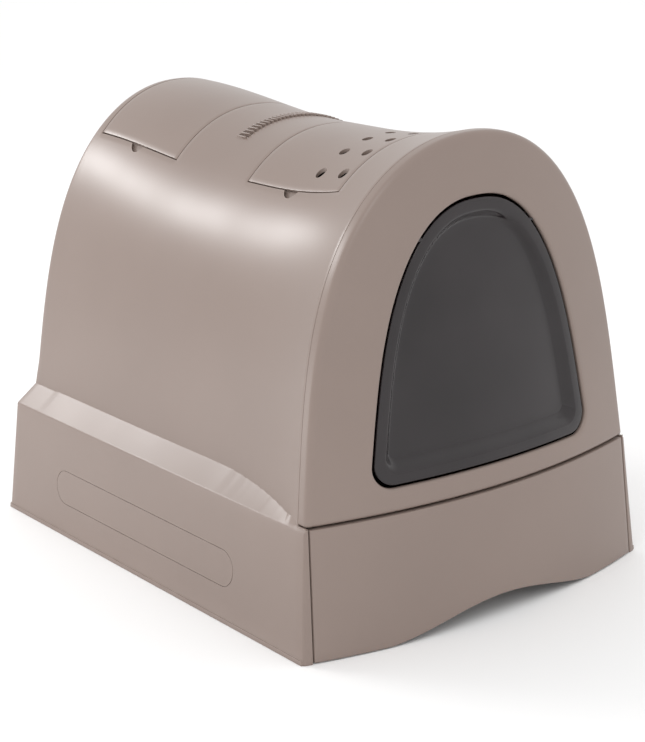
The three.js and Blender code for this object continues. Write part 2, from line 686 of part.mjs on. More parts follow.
function drawerFront() {
  const trayFace = -DEPTH / 2 + TRAY_SETBACK;
  const under = DRAWER_TOP - DRAWER_WALL;
  const edge = drawerBay(0, DRAWER_LIFT, DRAWER_TOP, -DEPTH, FAR).intersect(
    inFrontOf(PANEL_EDGE, -FAR * 2),
  );
  const core = drawerBay(-SHELF_INSET, DRAWER_LIFT, DRAWER_TOP, -DEPTH, trayFace + SHELF);
  const whole = edge.add(core).subtract(inFrontOf(0));
  const room = drawerBay(-SHELF_INSET - DRAWER_WALL, -FAR, under, -DEPTH, FAR).subtract(
    inFrontOf(DRAWER_WALL, -FAR * 2),
  );
  const trayRoom = box([-half, half], [trayFace - GAP, FAR], [-FAR, under]);
  const gussets = both((side) => {
    const x = [GUSSET_X, GUSSET_X + DRAWER_WALL].map((value) => side * value).sort((a, b) => a - b);
    return box(x, [-DEPTH / 2, trayFace - GAP], [WAVE_HIGH, under]).subtract(inFrontOf(DRAWER_WALL / 2));
  });
  const wave = steps(24).map((s) => {
    const x = mix(WAVE_HALF, -WAVE_HALF, s);
    return [x, WAVE_HIGH * 0.5 * (1 + Math.cos((Math.PI * x) / WAVE_HALF))];
  });
  const recess = alongY([[-WAVE_HALF, -FAR], [WAVE_HALF, -FAR], ...wave], -DEPTH, 0);
  return whole.subtract(room).subtract(trayRoom).add(gussets).subtract(recess);
}

function baseFloor() {
  const wide = baseHalf(FLOOR_RIM) - WALL - GAP;
  const rear = rearY(FLOOR_RIM) - WALL - GAP;
  const front = -DEPTH / 2 + TRAY_SETBACK + SHELF + SEAM;
  const runnerX = drawerHalf(BASE_HEIGHT) - RUNNER_INSET;
  const pan = box([-wide, wide], [front, rear], [0, FLOOR_RIM]);
  const hollow = box([-wide + WALL, wide - WALL], [-DEPTH, rear - WALL], [FLOOR_THICK, FAR]);
  const runner = (side) =>
    box(
      [-RUNNER_WIDE / 2, RUNNER_WIDE / 2].map((x) => x + side * runnerX),
      [front, rear - WALL],
      [FLOOR_THICK / 2, RUNNER_TOP],
    );
  return pan.subtract(hollow).add(both(runner));
}

// ---------- what the two bins hold ----------
function carbonFilter() {
  const x = LID_HALF - LEDGE - FILTER_CLEAR;
  const low = FILTER_BIN_FLOOR + BIN_WALL + GAP;
  return box(
    [-x, x],
    [VENT_LID.front + LEDGE + FILTER_CLEAR, VENT_LID.rear - LEDGE - FILTER_CLEAR],
    [low, low + FILTER_THICK],
  );
}

function filterBasket() {
  const inner = LID_HALF - LEDGE - SLOT_MARGIN;
  const count = Math.floor((2 * inner - SLOT_WIDTH) / SLOT_PITCH);
  const slots = steps(count).map((share) => {
    const x = (share - 0.5) * count * SLOT_PITCH;
    return box(
      [x - SLOT_WIDTH / 2, x + SLOT_WIDTH / 2],
      [VENT_LID.front + LEDGE + SLOT_MARGIN, VENT_LID.rear - LEDGE - SLOT_MARGIN],
      [FILTER_BIN_FLOOR - FAR, FILTER_BIN_FLOOR + BIN_WALL * 2],
    );
  });
  return bin(VENT_LID, FILTER_BIN_FLOOR).subtract(join(...slots));
}

function ventLid() {
  const vents = [0, 1].flatMap((row) =>
    steps(VENT_COLUMNS - 1).map((share) => {
      const x = (share - 0.5) * (VENT_COLUMNS - 1) * VENT_PITCH_X;
      const y = VENT_LID.front + VENT_ROW_SETBACK + row * VENT_PITCH_Y;
      return rod(at(x, y, SKY[0]), at(x, y, SKY[1]), VENT_RADIUS, 12);
    }),
  );
  return lidPlate(VENT_LID).subtract(join(...vents));
}

function litterScoop() {
  const { bowl, wide, deep, grip, gripWide, thick, corner } = SCOOP;
  const low = SCOOP_BIN_FLOOR + BIN_WALL + GAP;
  const y = mix(SCOOP_LID.front, SCOOP_LID.rear, 0.5);
  const ring = (inset, z) => {
    const front = y - wide / 2 + inset;
    const rear = y + wide / 2 - inset;
    const flat = roundedRing(bowl / 2 - inset, front, rear, corner - inset / 2, z);
    return flat.map((point) => point.add(at(-bowl / 2, 0, 0)));
  };
  const pan = loft([
    ring(SCOOP_DRAFT, low),
    ring(0, low + deep),
    ring(thick, low + deep),
    ring(SCOOP_DRAFT + thick, low + thick),
  ]);
  const slots = steps(SCOOP_SLOTS - 1).map((share) => {
    const slotY = y + (share - 0.5) * (wide - 2 * SCOOP_SLOT.edge);
    const slotX = [-bowl + SCOOP_SLOT.end, -SCOOP_SLOT.end];
    const reach = SCOOP_SLOT.wide / 2;
    return box(slotX, [slotY - reach, slotY + reach], [low - FAR, low + thick * 2]);
  });
  const tail = new THREE.Shape();
  tail.moveTo(-thick, -gripWide / 2);
  tail.lineTo(grip - gripWide / 2, -gripWide / 2);
  tail.absarc(grip - gripWide / 2, 0, gripWide / 2, -Math.PI / 2, Math.PI / 2);
  tail.lineTo(-thick, gripWide / 2);
  const eye = new THREE.Path();
  eye.absarc(grip - gripWide / 2, 0, gripWide / 5, 0, Math.PI * 2);
  tail.holes.push(eye);
  const handle = new THREE.ExtrudeGeometry(tail, { depth: thick * 2, bevelEnabled: false, curveSegments: 8 });
  handle.translate(0, y, low + deep - thick * 2);
  return pan.subtract(join(...slots)).add(solid(handle));
}

// ---------- the object ----------
function mesh(name, body, material) {
  const { vertProperties, triVerts } = body.getMesh();
  const geometry = new THREE.BufferGeometry();
  geometry.setAttribute("position", new THREE.BufferAttribute(vertProperties, 3));
  geometry.setIndex(new THREE.BufferAttribute(triVerts, 1));
  geometry.computeVertexNormals();
  const made = new THREE.Mesh(geometry, material);
  made.name = name;
  return made;
}

const housing = new THREE.Group();
housing.add(
  mesh("hood_shell", hoodShell(), TAUPE),
  mesh("base_walls", baseWalls(), TAUPE),
  mesh("front_fascia", frontFascia(), TAUPE),
  mesh("base_floor", baseFloor(), TAUPE_INSIDE),
  mesh("scoop_well", bin(SCOOP_LID, SCOOP_BIN_FLOOR), TAUPE_INSIDE),
  mesh("filter_basket", filterBasket(), TAUPE_INSIDE),
  mesh("carbon_filter", carbonFilter(), CHARCOAL),
  mesh("litter_scoop", litterScoop(), TAUPE),
  mesh("scoop_lid_pin", hingePin(SCOOP_LID), STEEL),
  mesh("filter_lid_pin", hingePin(VENT_LID), STEEL),
);

const drawer = new THREE.Group();
drawer.add(
  mesh("drawer_tray", drawerTray(), TAUPE_INSIDE),
  mesh("drawer_front", drawerFront(), TAUPE),
);

const litterBox = new THREE.Group();
litterBox.add(
  housing,
  drawer,
  mesh("door_flap", doorFlap(), SMOKED),
  mesh("scoop_lid", lidPlate(SCOOP_LID), TAUPE),
  mesh("filter_lid", ventLid(), TAUPE),
);

export default litterBox;
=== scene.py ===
# %% [markdown]
# # A hooded litter box
#
# This is a box for cats, moulded in one warm grey plastic. A tall arched hood stands on straight
# base walls. The front is a curved frame with a smoked flap, and under it slides a drawer with the
# litter tray. Two lids in the roof open on bins for a carbon filter and for the scoop.
#
# The mechanical model is made already. It gives every piece its place and its joints, but its
# curves are coarse and its edges are sharp, because it serves for physics. Here each shell is made
# again with fine curves, rounded edges and a real finish, in the same place.

import json
import math
from contextlib import contextmanager

import bmesh
import bpy
import numpy as np
from mathutils import Matrix, Vector


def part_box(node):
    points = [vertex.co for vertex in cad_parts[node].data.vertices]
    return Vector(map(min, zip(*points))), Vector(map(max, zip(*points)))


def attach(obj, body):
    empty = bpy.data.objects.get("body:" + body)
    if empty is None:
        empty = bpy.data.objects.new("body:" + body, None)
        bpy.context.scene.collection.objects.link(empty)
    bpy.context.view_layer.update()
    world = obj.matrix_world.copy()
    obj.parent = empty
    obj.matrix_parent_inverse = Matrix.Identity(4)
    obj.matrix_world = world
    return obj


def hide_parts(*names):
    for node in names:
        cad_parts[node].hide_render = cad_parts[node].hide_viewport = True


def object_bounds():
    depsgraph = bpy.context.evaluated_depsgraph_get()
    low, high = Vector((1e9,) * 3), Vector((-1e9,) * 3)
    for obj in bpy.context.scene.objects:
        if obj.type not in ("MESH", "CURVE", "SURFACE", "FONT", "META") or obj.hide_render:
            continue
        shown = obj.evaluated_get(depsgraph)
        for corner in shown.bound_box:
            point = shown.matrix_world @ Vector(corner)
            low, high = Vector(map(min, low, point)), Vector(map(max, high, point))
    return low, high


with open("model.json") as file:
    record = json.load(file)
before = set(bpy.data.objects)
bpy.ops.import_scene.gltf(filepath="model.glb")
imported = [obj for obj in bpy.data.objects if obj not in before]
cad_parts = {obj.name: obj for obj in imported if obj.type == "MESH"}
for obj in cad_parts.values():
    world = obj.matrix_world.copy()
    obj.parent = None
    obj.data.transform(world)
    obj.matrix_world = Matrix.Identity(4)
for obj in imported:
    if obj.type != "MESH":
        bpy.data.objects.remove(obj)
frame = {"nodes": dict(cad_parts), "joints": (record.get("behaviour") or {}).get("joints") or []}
cad_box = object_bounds()
print("mechanical box:", [tuple(round(v, 4) for v in corner) for corner in cad_box])

# %% [markdown]
# ## The laws that shape the box
#
# The box has no plain cylinder or plane in its outer skin. The front bulges forwards in the middle
# and leans back, the base walls lean in, and the hood is an arch with a flat-topped, superelliptic
# section that widens towards the front. If every piece reads the same few laws, the flap follows
# the frame, the lids follow the roof, and all gaps stay even. So the laws come first, as functions
# that take whole arrays of points. All lengths are in metres.

# %% Sizes
MM = 0.001
low_corner, high_corner = cad_box
HALF = (high_corner.x - low_corner.x) / 2
FRONT = low_corner.y
REAR = high_corner.y
WALL = 3 * MM  # moulded wall
SEAM = 1.6 * MM  # open joint between pieces that move apart
FINE_GAP = 0.4 * MM  # joint between pieces that stay together
FINE_EDGE = 0.5 * MM  # rounding that a mould leaves on every sharp edge
BASE_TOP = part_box("drawer_front")[1].z + SEAM / 2
WAVE_HIGH = 20 * MM  # arched finger recess under the drawer front
WAVE_HALF = 140 * MM
STEP_LOW = BASE_TOP - 2.6 * MM  # the sloped step between base wall and hood starts here
STEP_HIGH = STEP_LOW + 15.5 * MM
REAR_HALF = HALF - 31 * MM  # half width of the hood's foot at the rear
FRONT_HALF = HALF - 13.1 * MM  # and at the front, where it flares out
RIM_DEPTH = 12 * MM  # rim of the front frame, back to its joint with the hood
LIP = 1.4 * MM  # outward lip along the foot of the walls
LIP_HIGH = 4 * MM
BULGE = 32 * MM  # how far the middle of the front stands before its sides
FRONT_LEAN = 0.093  # set back per height
REAR_LEAN = 0.087
BASE_DRAFT = 9.9 * MM  # each base wall leans in by this much up to BASE_TOP
DRAWER_INSET = (10 * MM, 5 * MM)  # from the wall's skin to the drawer, at its foot and its top
HOOD_CURVE = {"sides": 2.13, "crown": 3.73, "taper": 0.2}
FRONT_RISE = 308.8 * MM  # the hood's crown over its foot
REAR_RISE = 311.2 * MM
DIP = 18 * MM  # the roof sinks by this much before it rises to the front
DIP_END = 0.466  # share of the length, from the front, where the dip is deepest
FLARE_LENGTH = 0.347  # share of the length in which the hood widens to the front
FLARE_POWER = 2.27
print("half width", round(HALF, 4), "base top", round(BASE_TOP, 4))


# %% Laws
def mix(a, b, share):
    return a + (b - a) * share


def front_y(x, z):
    """The front face: it bulges in the middle and leans back."""
    return FRONT + BULGE * (x / HALF) ** 2 + FRONT_LEAN * (z - WAVE_HIGH)


def rear_y(z):
    return REAR - LIP - REAR_LEAN * z


def base_half(z):
    return HALF - LIP - BASE_DRAFT * z / BASE_TOP


def drawer_half(z):
    return base_half(z) - mix(*DRAWER_INSET, z / BASE_TOP)


def arch(half_width, rise, curve, angle):
    """A point of an arch, at an angle from 0 (right foot) to pi (left foot)."""
    up = np.sin(angle) ** (2 / curve["crown"])
    reach = np.sign(np.cos(angle)) * np.abs(np.cos(angle)) ** (2 / curve["sides"])
    return half_width * reach * (1 - curve["taper"] * up), rise * up


def hood_arch(share, inset=0.0):
    """Half width and rise of the hood at a share of its length, 0 at the front, 1 at the rear."""
    flare = np.clip(1 - share / FLARE_LENGTH, 0, 1) ** FLARE_POWER
    dip = np.sin(np.pi / 2 * np.clip((1 - share) / (1 - DIP_END), 0, 1)) ** 2
    half_width = mix(REAR_HALF, FRONT_HALF, flare)
    rise = mix(REAR_RISE - DIP * dip, FRONT_RISE, flare)
    return half_width - inset, rise - inset


def roof_z(x, y, inset=0.0):
    """Height of the roof, or of a surface an inset under it, for arrays of x and y."""
    x, y = np.broadcast_arrays(np.asarray(x, float), np.asarray(y, float))
    angle = np.linspace(0, np.pi / 2, 1500)
    z = np.full(x.shape, BASE_TOP + 0.3)
    for _ in range(9):
        begin = front_y(x, z) + RIM_DEPTH
        share = (y - begin) / (rear_y(z) - inset - begin)
        half_width, rise = hood_arch(share, inset)
        unit_x, unit_z = arch(1.0, 1.0, HOOD_CURVE, angle)
        z = BASE_TOP + rise * np.interp(np.abs(x) / half_width, unit_x[::-1], unit_z[::-1])
    return z


print("crown at mid length", round(float(roof_z(0.0, 0.02)), 4))

# %% [markdown]
# ## Helpers for working by hand
#
# An operator acts on whatever is selected, and loading the model left its pieces selected. So one
# helper picks a single piece, one opens it in edit mode, and one selects faces or edges by a test
# on their place or direction. A modifier is always applied at once, and a finished piece keeps its
# origin in the corner of the world, with its place in its mesh.


# %% Selecting and editing
def pick(*pieces):
    bpy.ops.object.select_all(action="DESELECT")
    for piece in pieces:
        piece.select_set(True)
    bpy.context.view_layer.objects.active = pieces[0]
    return pieces[0]


@contextmanager
def editing(piece, kind="FACE"):
    pick(piece)
    bpy.ops.object.mode_set(mode="EDIT")
    bpy.ops.mesh.select_mode(type=kind)
    bpy.ops.mesh.select_all(action="DESELECT")
    yield bmesh.from_edit_mesh(piece.data)
    bpy.ops.object.mode_set(mode="OBJECT")


def choose(mesh, kind, test):
    """Select the faces, edges or verts that pass a test, and say how many did."""
    found = [item for item in getattr(mesh, kind) if test(item)]
    for item in found:
        item.select_set(True)
    mesh.select_flush_mode()
    return len(found)


def centre(edge):
    return (edge.verts[0].co + edge.verts[1].co) / 2


def finish_modifier(piece, kind, **settings):
    pick(piece)
    modifier = piece.modifiers.new(kind.title(), kind)
    for name, value in settings.items():
        setattr(modifier, name, value)
    bpy.ops.object.modifier_apply(modifier=modifier.name)
    return piece


def round_edges(piece, width, segments=2, angle=40):
    return finish_modifier(
        piece,
        "BEVEL",
        width=width,
        segments=segments,
        limit_method="ANGLE",
        angle_limit=math.radians(angle),
        use_clamp_overlap=False,
        harden_normals=False,
    )


def thicken(piece, thickness):
    """Give a sheet its wall, on the side away from its normals."""
    return finish_modifier(
        piece,
        "SOLIDIFY",
        thickness=thickness,
        offset=-1,
        use_even_offset=True,
        use_quality_normals=True,
    )


def combine(piece, tool, operation):
    """Join a tool to a piece, or cut it away, and remove the tool. Tells the faces added."""
    before = len(piece.data.polygons)
    finish_modifier(piece, "BOOLEAN", object=tool, operation=operation, solver="MANIFOLD")
    bpy.data.objects.remove(tool)
    if not piece.data.polygons:
        raise RuntimeError(f"{piece.name}: the {operation.lower()} left nothing")
    return len(piece.data.polygons) - before


def settle(piece, name, angle=32):
    """Name a finished piece, put its place into its mesh and smooth it."""
    pick(piece)
    bpy.ops.object.transform_apply(location=True, rotation=True, scale=True)
    bpy.ops.object.shade_smooth_by_angle(angle=math.radians(angle))
    piece.name = name
    piece.data.name = name
    print(f"{name}: {len(piece.data.polygons)} faces")
    return piece


def outward(piece):
    with editing(piece):
        bpy.ops.mesh.select_all(action="SELECT")
        bpy.ops.mesh.normals_make_consistent(inside=False)
    return piece


def merge_close(piece, distance=0.01 * MM):
    with editing(piece, "VERT"):
        bpy.ops.mesh.select_all(action="SELECT")
        bpy.ops.mesh.remove_doubles(threshold=distance)
    return piece


# %% [markdown]
# Three kinds of start cover all the pieces. A **sheet** starts as a grid primitive whose points are
# laid on a law, like cloth over a former. A **ring stack** starts as a circle primitive, is laid on
# an outline, and is extruded from outline to outline. A **rod** or a **block** is a primitive at
# its size and place, for hinges, ribs and cutting tools.


# %% Sheets, ring stacks, rods and blocks
def sheet(points, keep=None):
    """A grid laid on rows x columns of points. keep marks the points that the piece really has."""
    rows, columns = points.shape[:2]
    bpy.ops.object.select_all(action="DESELECT")
    bpy.ops.mesh.primitive_grid_add(x_subdivisions=columns - 1, y_subdivisions=rows - 1, size=1)
    piece = bpy.context.object
    piece.data.vertices.foreach_set("co", points.reshape(-1, 3).astype(np.float32).ravel())
    if keep is not None:
        spare = ~keep.ravel()
        with editing(piece, "VERT") as mesh:
            choose(mesh, "verts", lambda v: spare[v.index])
            bpy.ops.mesh.delete(type="VERT")
    return piece


def ring_stack(rings, closed=False):
    """A skin through outlines with equal numbers of points. Closed, the last meets the first."""
    rings = [np.asarray(ring, float) for ring in rings]
    if closed:
        rings.append(rings[0])
    bpy.ops.object.select_all(action="DESELECT")
    bpy.ops.mesh.primitive_circle_add(vertices=len(rings[0]))
    piece = bpy.context.object
    with editing(piece, "VERT") as mesh:
        bpy.ops.mesh.select_all(action="SELECT")
        mesh.verts.ensure_lookup_table()
        last = list(range(len(rings[0])))
        for index, place in zip(last, rings[0]):
            mesh.verts[index].co = place
        for ring in rings[1:]:
            bpy.ops.mesh.extrude_edges_move()
            mesh = bmesh.from_edit_mesh(piece.data)
            mesh.verts.ensure_lookup_table()
            near = [[e.other_vert(mesh.verts[i]).index for e in mesh.verts[i].link_edges]
                    for i in last]
            last = [max(indices) for indices in near]  # new points come last in a mesh
            for index, place in zip(last, ring):
                mesh.verts[index].co = place
        bmesh.update_edit_mesh(piece.data)
    return outward(merge_close(piece)) if closed else piece


def rod(start, end, radius, sides=48, blunt=0.0):
    """A round bar between two points, with rounded rims if blunt is over 0."""
    start, end = Vector(start), Vector(end)
    along = end - start
    bpy.ops.object.select_all(action="DESELECT")
    bpy.ops.mesh.primitive_cylinder_add(
        vertices=sides,
        radius=radius,
        depth=along.length,
        location=(start + end) / 2,
        rotation=along.to_track_quat("Z", "Y").to_euler(),
    )
    bar = bpy.context.object
    bpy.ops.object.transform_apply(location=True, rotation=True, scale=True)
    if blunt:
        round_edges(bar, blunt, 3, 60)
    return bar


def block(x, y, z, blunt=0.0, segments=3):
    """A box between two values on each axis, with rounded edges if blunt is over 0."""
    low, high = (Vector([axis[end] for axis in (x, y, z)]) for end in (0, 1))
    bpy.ops.object.select_all(action="DESELECT")
    bpy.ops.mesh.primitive_cube_add(size=1, location=(low + high) / 2, scale=high - low)
    made = bpy.context.object
    bpy.ops.object.transform_apply(location=True, rotation=True, scale=True)
    if blunt:
        round_edges(made, blunt, segments, 60)
    return made


def twin(piece, move):
    """A copy with its own mesh, moved by a matrix."""
    made = piece.copy()
    made.data = piece.data.copy()
    made.data.transform(move)
    bpy.context.scene.collection.objects.link(made)
    return made


def weld(*pieces):
    """Several pieces as one object."""
    pick(*pieces)
    bpy.ops.object.join()
    return bpy.context.object


def copies(piece, shifts):
    """The piece, joined with a copy of itself at each shift."""
    return weld(piece, *[twin(piece, Matrix.Translation(shift)) for shift in shifts])


def cap_ends(stack, at_first):
    """Fill the first and the last ring of a stack. The test tells the first one by its place."""
    for first in (True, False):
        with editing(stack, "EDGE") as mesh:
            choose(mesh, "edges", lambda e: e.is_boundary and at_first(centre(e)) == first)
            bpy.ops.mesh.edge_face_add()
    return outward(stack)


def round_uprights(piece, radius, segments, beyond=-1.0):
    """Round the upright edges of a block that lie beyond an x."""
    with editing(piece, "EDGE") as mesh:
        choose(mesh, "edges", lambda e: centre(e).x > beyond
               and abs(e.verts[0].co.z - e.verts[1].co.z) > MM)
        bpy.ops.mesh.bevel(offset=radius, segments=segments)
    return piece


# %% [markdown]
# ## The hood
#
# The hood, the sloped step and the base walls are one moulding, 3 mm thick. It could be cut out of
# thick blocks, but cuts leave long thin faces that spoil a glossy curve. It is laid as one sheet
# instead: each row of points is a cross-section, from the foot of the left wall over the roof to
# the foot of the right wall. Columns and rows are placed so that the edges of the two lids fall
# exactly on them. Then the lids are simply the faces inside those lines, and their curve runs on
# from the roof without a break.

# %% Columns of the cross-section
LID_HALF = 95 * MM
LID_GAP = 0.8 * MM
HINGE_GAP = 4 * MM  # from the hinge line to the edge of the lid's plate
STEP_RUN = (base_half(STEP_LOW) - REAR_HALF) / (STEP_HIGH - STEP_LOW)  # sideways per height
STEP_ROUND = 3 * MM
FIRST_COLUMN = 1.4 * MM  # from the hood's foot to the column that the frame's lower edge follows
ROOF_MARGINS = (5 * MM, 9 * MM)  # from the hole's left and right edge to the even columns
SIDE_COLUMNS = 46
ROOF_COLUMNS = 40
SECTIONS = 141  # cross-sections in the table that the rows are read from
LID_ROWS = 26
ROWS_BETWEEN = 21  # between the two lids
ROWS_BEFORE = 10  # from the frame to the first lid


def rounded_corner(before, corner, after, radius, count=4):
    """Points on an arc that rounds a corner of a polyline in the plane."""
    to_before = (before - corner) / np.linalg.norm(before - corner)
    to_after = (after - corner) / np.linalg.norm(after - corner)
    half_turn = math.acos(np.clip(to_before @ to_after, -1, 1)) / 2
    reach = radius / math.tan(half_turn)
    middle = corner + (to_before + to_after) / np.linalg.norm(to_before + to_after) * (
        radius / math.sin(half_turn)
    )
    first, last = corner + to_before * reach - middle, corner + to_after * reach - middle
    points = []
    for share in np.linspace(0, 1, count):
        arm = mix(first, last, share)
        points.append(middle + arm / np.linalg.norm(arm) * radius)
    return points


def side_section(share):
    """Half a cross-section, from the foot of the right wall up to the edge of the lids."""
    half_width, rise = hood_arch(share)
    x, z = arch(half_width, rise, HOOD_CURVE, np.linspace(0, np.pi / 2, 4000))
    z = z + BASE_TOP
    if half_width > base_half(STEP_LOW) - STEP_RUN * (BASE_TOP - STEP_LOW):
        foot_z = STEP_LOW + (base_half(STEP_LOW) - half_width) / STEP_RUN
        foot = np.array([half_width, foot_z])
        x, z = np.insert(x, 0, half_width), np.insert(z, 0, foot_z)
    else:
        above = int(np.argmax(x > base_half(STEP_LOW) - STEP_RUN * (z - STEP_LOW)))
        foot = np.array([x[above], z[above]])
        x, z = x[above:], z[above:]
    corner = np.array([base_half(STEP_LOW), STEP_LOW])
    wall_foot = np.array([base_half(0.0), 0.0])
    radius = min(STEP_ROUND, 0.8 * np.linalg.norm(foot - corner))
    wall = [mix(wall_foot, corner, s) for s in (0, 0.2, 0.45, 0.7, 0.9)]
    bend = rounded_corner(wall_foot, corner, foot, radius)
    keep = x >= LID_HALF
    x, z = np.append(x[keep], LID_HALF), np.append(z[keep], np.interp(-LID_HALF, -x, z))
    length = np.append(0, np.cumsum(np.hypot(np.diff(x), np.diff(z))))
    spots = mix(FIRST_COLUMN, length[-1], np.linspace(0, 1, SIDE_COLUMNS))
    side = np.stack([np.interp(spots, length, x), np.interp(spots, length, z)], axis=1)
    return np.vstack([wall, bend, [foot], side])


shares = np.linspace(0, 1, SECTIONS)
side_table = np.array([side_section(s) for s in shares])
CUT_COLUMN = side_table.shape[1] - SIDE_COLUMNS  # everything above it starts behind the frame
even_x = np.linspace(-LID_HALF + ROOF_MARGINS[0], LID_HALF - ROOF_MARGINS[1], ROOF_COLUMNS)
roof_x = np.array([-LID_HALF + LID_GAP, *even_x, LID_HALF - HINGE_GAP])
print(side_table.shape[1], "columns on each side,", len(roof_x), "over the lids")

# %% [markdown]
# A row asks for points at a given distance along the box, but the laws give them by share of the
# length, and the front face bulges. The two are brought together by stepping: guess the share, look
# up the point there, see how far along it lies, and correct. After a few turns it no longer moves.


# %% Rows of the hood
def section_points(target):
    """One row: target(x, z) is the y that the row should have at each of its points."""
    per_side = side_table.shape[1]
    signs = np.concatenate([-np.ones(per_side), np.sign(roof_x), np.ones(per_side)])
    share = np.full(len(signs), 0.5)
    y = z = np.zeros(len(signs))
    for _ in range(10):
        left, right = (
            np.array([[np.interp(part[c], shares, side_table[:, c, axis]) for axis in (0, 1)]
                      for c in range(per_side)])
            for part in (share, share[::-1])
        )
        middle = roof_z(roof_x, y[per_side:-per_side])
        x = np.concatenate([-left[:, 0], roof_x, right[::-1, 0]])
        z = np.concatenate([left[:, 1], middle, right[::-1, 1]])
        y = target(x, z)
        begin = front_y(x, z) + RIM_DEPTH
        share = np.clip((y - begin) / (rear_y(z) - begin), 0, 1)
    return np.stack([x, y, z], axis=1)


lids = {}  # where the hole of each lid begins and ends along the roof
for lid in ("filter_lid", "scoop_lid"):
    corner_low, corner_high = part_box(lid)
    lids[lid] = (corner_low.y - LID_GAP, corner_high.y + LID_GAP)
    print(lid, "hole from", round(lids[lid][0], 4), "to", round(lids[lid][1], 4))


def seam(x, z):
    """Where the hood begins, a fine joint behind the frame's rim."""
    return front_y(x, z) + RIM_DEPTH + FINE_GAP


def lid_rows(lid):
    start, end = lids[lid]
    return [start, *np.linspace(start + LID_GAP, end - LID_GAP, LID_ROWS), end]


between = np.linspace(lids["filter_lid"][1], lids["scoop_lid"][0], ROWS_BETWEEN + 2)[1:-1]
y_lines = np.concatenate([lid_rows("filter_lid"), between, lid_rows("scoop_lid")])
rows = [section_points(lambda x, z, w=w: mix(seam(x, z), y_lines[0], w))
        for w in np.linspace(0, 1, ROWS_BEFORE + 1)[:-1]]
rows += [section_points(lambda x, z, y=y: np.full(len(x), y)) for y in y_lines]
print(len(rows), "rows so far")

# %% [markdown]
# The rear wall is flat, so one face fills it. Between it and the walls and roof runs a small
# rounding, wider round the roof than round the base. The front corners below the frame turn
# inwards to the posts that stand beside the drawer.


# %% Round the rear edge and turn in the front posts
REAR_ROUND = (2.5 * MM, 6 * MM)  # round the base and round the roof
REAR_ROUND_CHANGE = 30 * MM  # height over which one grows into the other
POST_ROUND = 2.4 * MM


def fall(share):
    """A smooth change from 0 to 1."""
    return share * share * (3 - 2 * share)


def rear_rows(steps=5):
    x, _, z = section_points(lambda x, z: rear_y(z)).T
    over_step = np.clip((z - STEP_HIGH) / REAR_ROUND_CHANGE, 0, 1)
    radius = mix(*REAR_ROUND, fall(over_step))
    tangent = np.gradient(np.stack([x, z], axis=1), axis=0)
    tangent /= np.linalg.norm(tangent, axis=1)[:, None]
    inwards = np.stack([tangent[:, 1], -tangent[:, 0]], axis=1)
    inwards[[0, -1], 1] = 0.0
    made = [np.stack([x, mix(y_lines[-1], rear_y(z) - radius, w), z], axis=1)
            for w in np.linspace(0, 1, 6)[1:-1]]
    for turn in np.linspace(0, np.pi / 2, steps + 1):
        along, across = radius * (1 - np.sin(turn)), radius * (1 - np.cos(turn))
        z_in = z + inwards[:, 1] * across
        made.append(np.stack([x + inwards[:, 0] * across, rear_y(z_in) - along, z_in], axis=1))
    return made


def front_rows(seam_row):
    """The posts: from beside the drawer outwards, round the corner and back along the wall."""
    x, _, z = seam_row.T
    side = np.sign(x)
    inner = drawer_half(z) + SEAM
    outer = np.abs(x)
    radius = np.minimum(POST_ROUND, 0.45 * np.maximum(outer - inner, 0.2 * MM))
    places = [(inner, 0 * x), (mix(inner, outer - radius, 0.5), 0 * x)]
    for turn in np.linspace(0, np.pi / 2, 5):
        places.append((outer - radius * (1 - np.sin(turn)), radius * (1 - np.cos(turn))))
    return [np.stack([side * reach, front_y(reach, z) + depth, z], axis=1)
            for reach, depth in places]


front = front_rows(rows[0])
points = np.array(front + rows + rear_rows())
columns = points.shape[1]
keep = np.ones(points.shape[:2], bool)
keep[: len(front), CUT_COLUMN + 1 : columns - CUT_COLUMN - 1] = False
hood = sheet(points, keep)
print("hood sheet:", len(hood.data.polygons), "faces")

# %% [markdown]
# Now the lids are taken out. The strips round them go first, which leaves the open joint, and wider
# on the right where the hinge will be. The rear wall is filled last, so that its one large face
# isn't in the way.


# %% Take the lids out of the sheet
def in_hole(point, lid):
    start, end = lids[lid]
    return abs(point.x) < LID_HALF and start < point.y < end and point.z > STEP_HIGH + 0.1


def in_plate(point, lid):
    start, end = lids[lid]
    inside_x = -LID_HALF + LID_GAP < point.x < LID_HALF - HINGE_GAP
    return inside_x and start + LID_GAP < point.y < end - LID_GAP


plates = {}
for lid in lids:
    with editing(hood) as mesh:
        choose(mesh, "faces", lambda f: in_hole(f.calc_center_median(), lid)
               and not in_plate(f.calc_center_median(), lid))
        bpy.ops.mesh.delete(type="FACE")
    with editing(hood) as mesh:
        found = choose(mesh, "faces", lambda f: in_hole(f.calc_center_median(), lid))
        bpy.ops.mesh.separate(type="SELECTED")
    plates[lid] = next(o for o in bpy.context.selected_objects if o != hood)
    print(lid, "plate has", found, "faces")

with editing(hood, "EDGE") as mesh:
    choose(mesh, "edges", lambda e: e.is_boundary and centre(e).y > rear_y(centre(e).z) - 0.02 * MM)
    bpy.ops.mesh.edge_face_add()
thicken(hood, WALL)
print("hood wall:", len(hood.data.polygons), "faces")

# %% [markdown]
# Along the foot the real wall turns outwards in a small lip, which stiffens it and catches the
# light. The wall is cut through at the lip's height, and the outer faces below that are pulled out
# along their normals. After that, all sharp edges get a fine rounding, as a mould leaves.


# %% Foot lip and fine edges
def outer_foot(face):
    place, normal = face.calc_center_median(), face.normal
    at_side = abs(place.x) > 0.9 * HALF and normal.x * place.x > 0 and normal.y > -0.3
    at_rear = place.y > 0.9 * REAR and normal.y > 0
    return place.z < LIP_HIGH and abs(normal.z) < 0.5 and (at_side or at_rear)


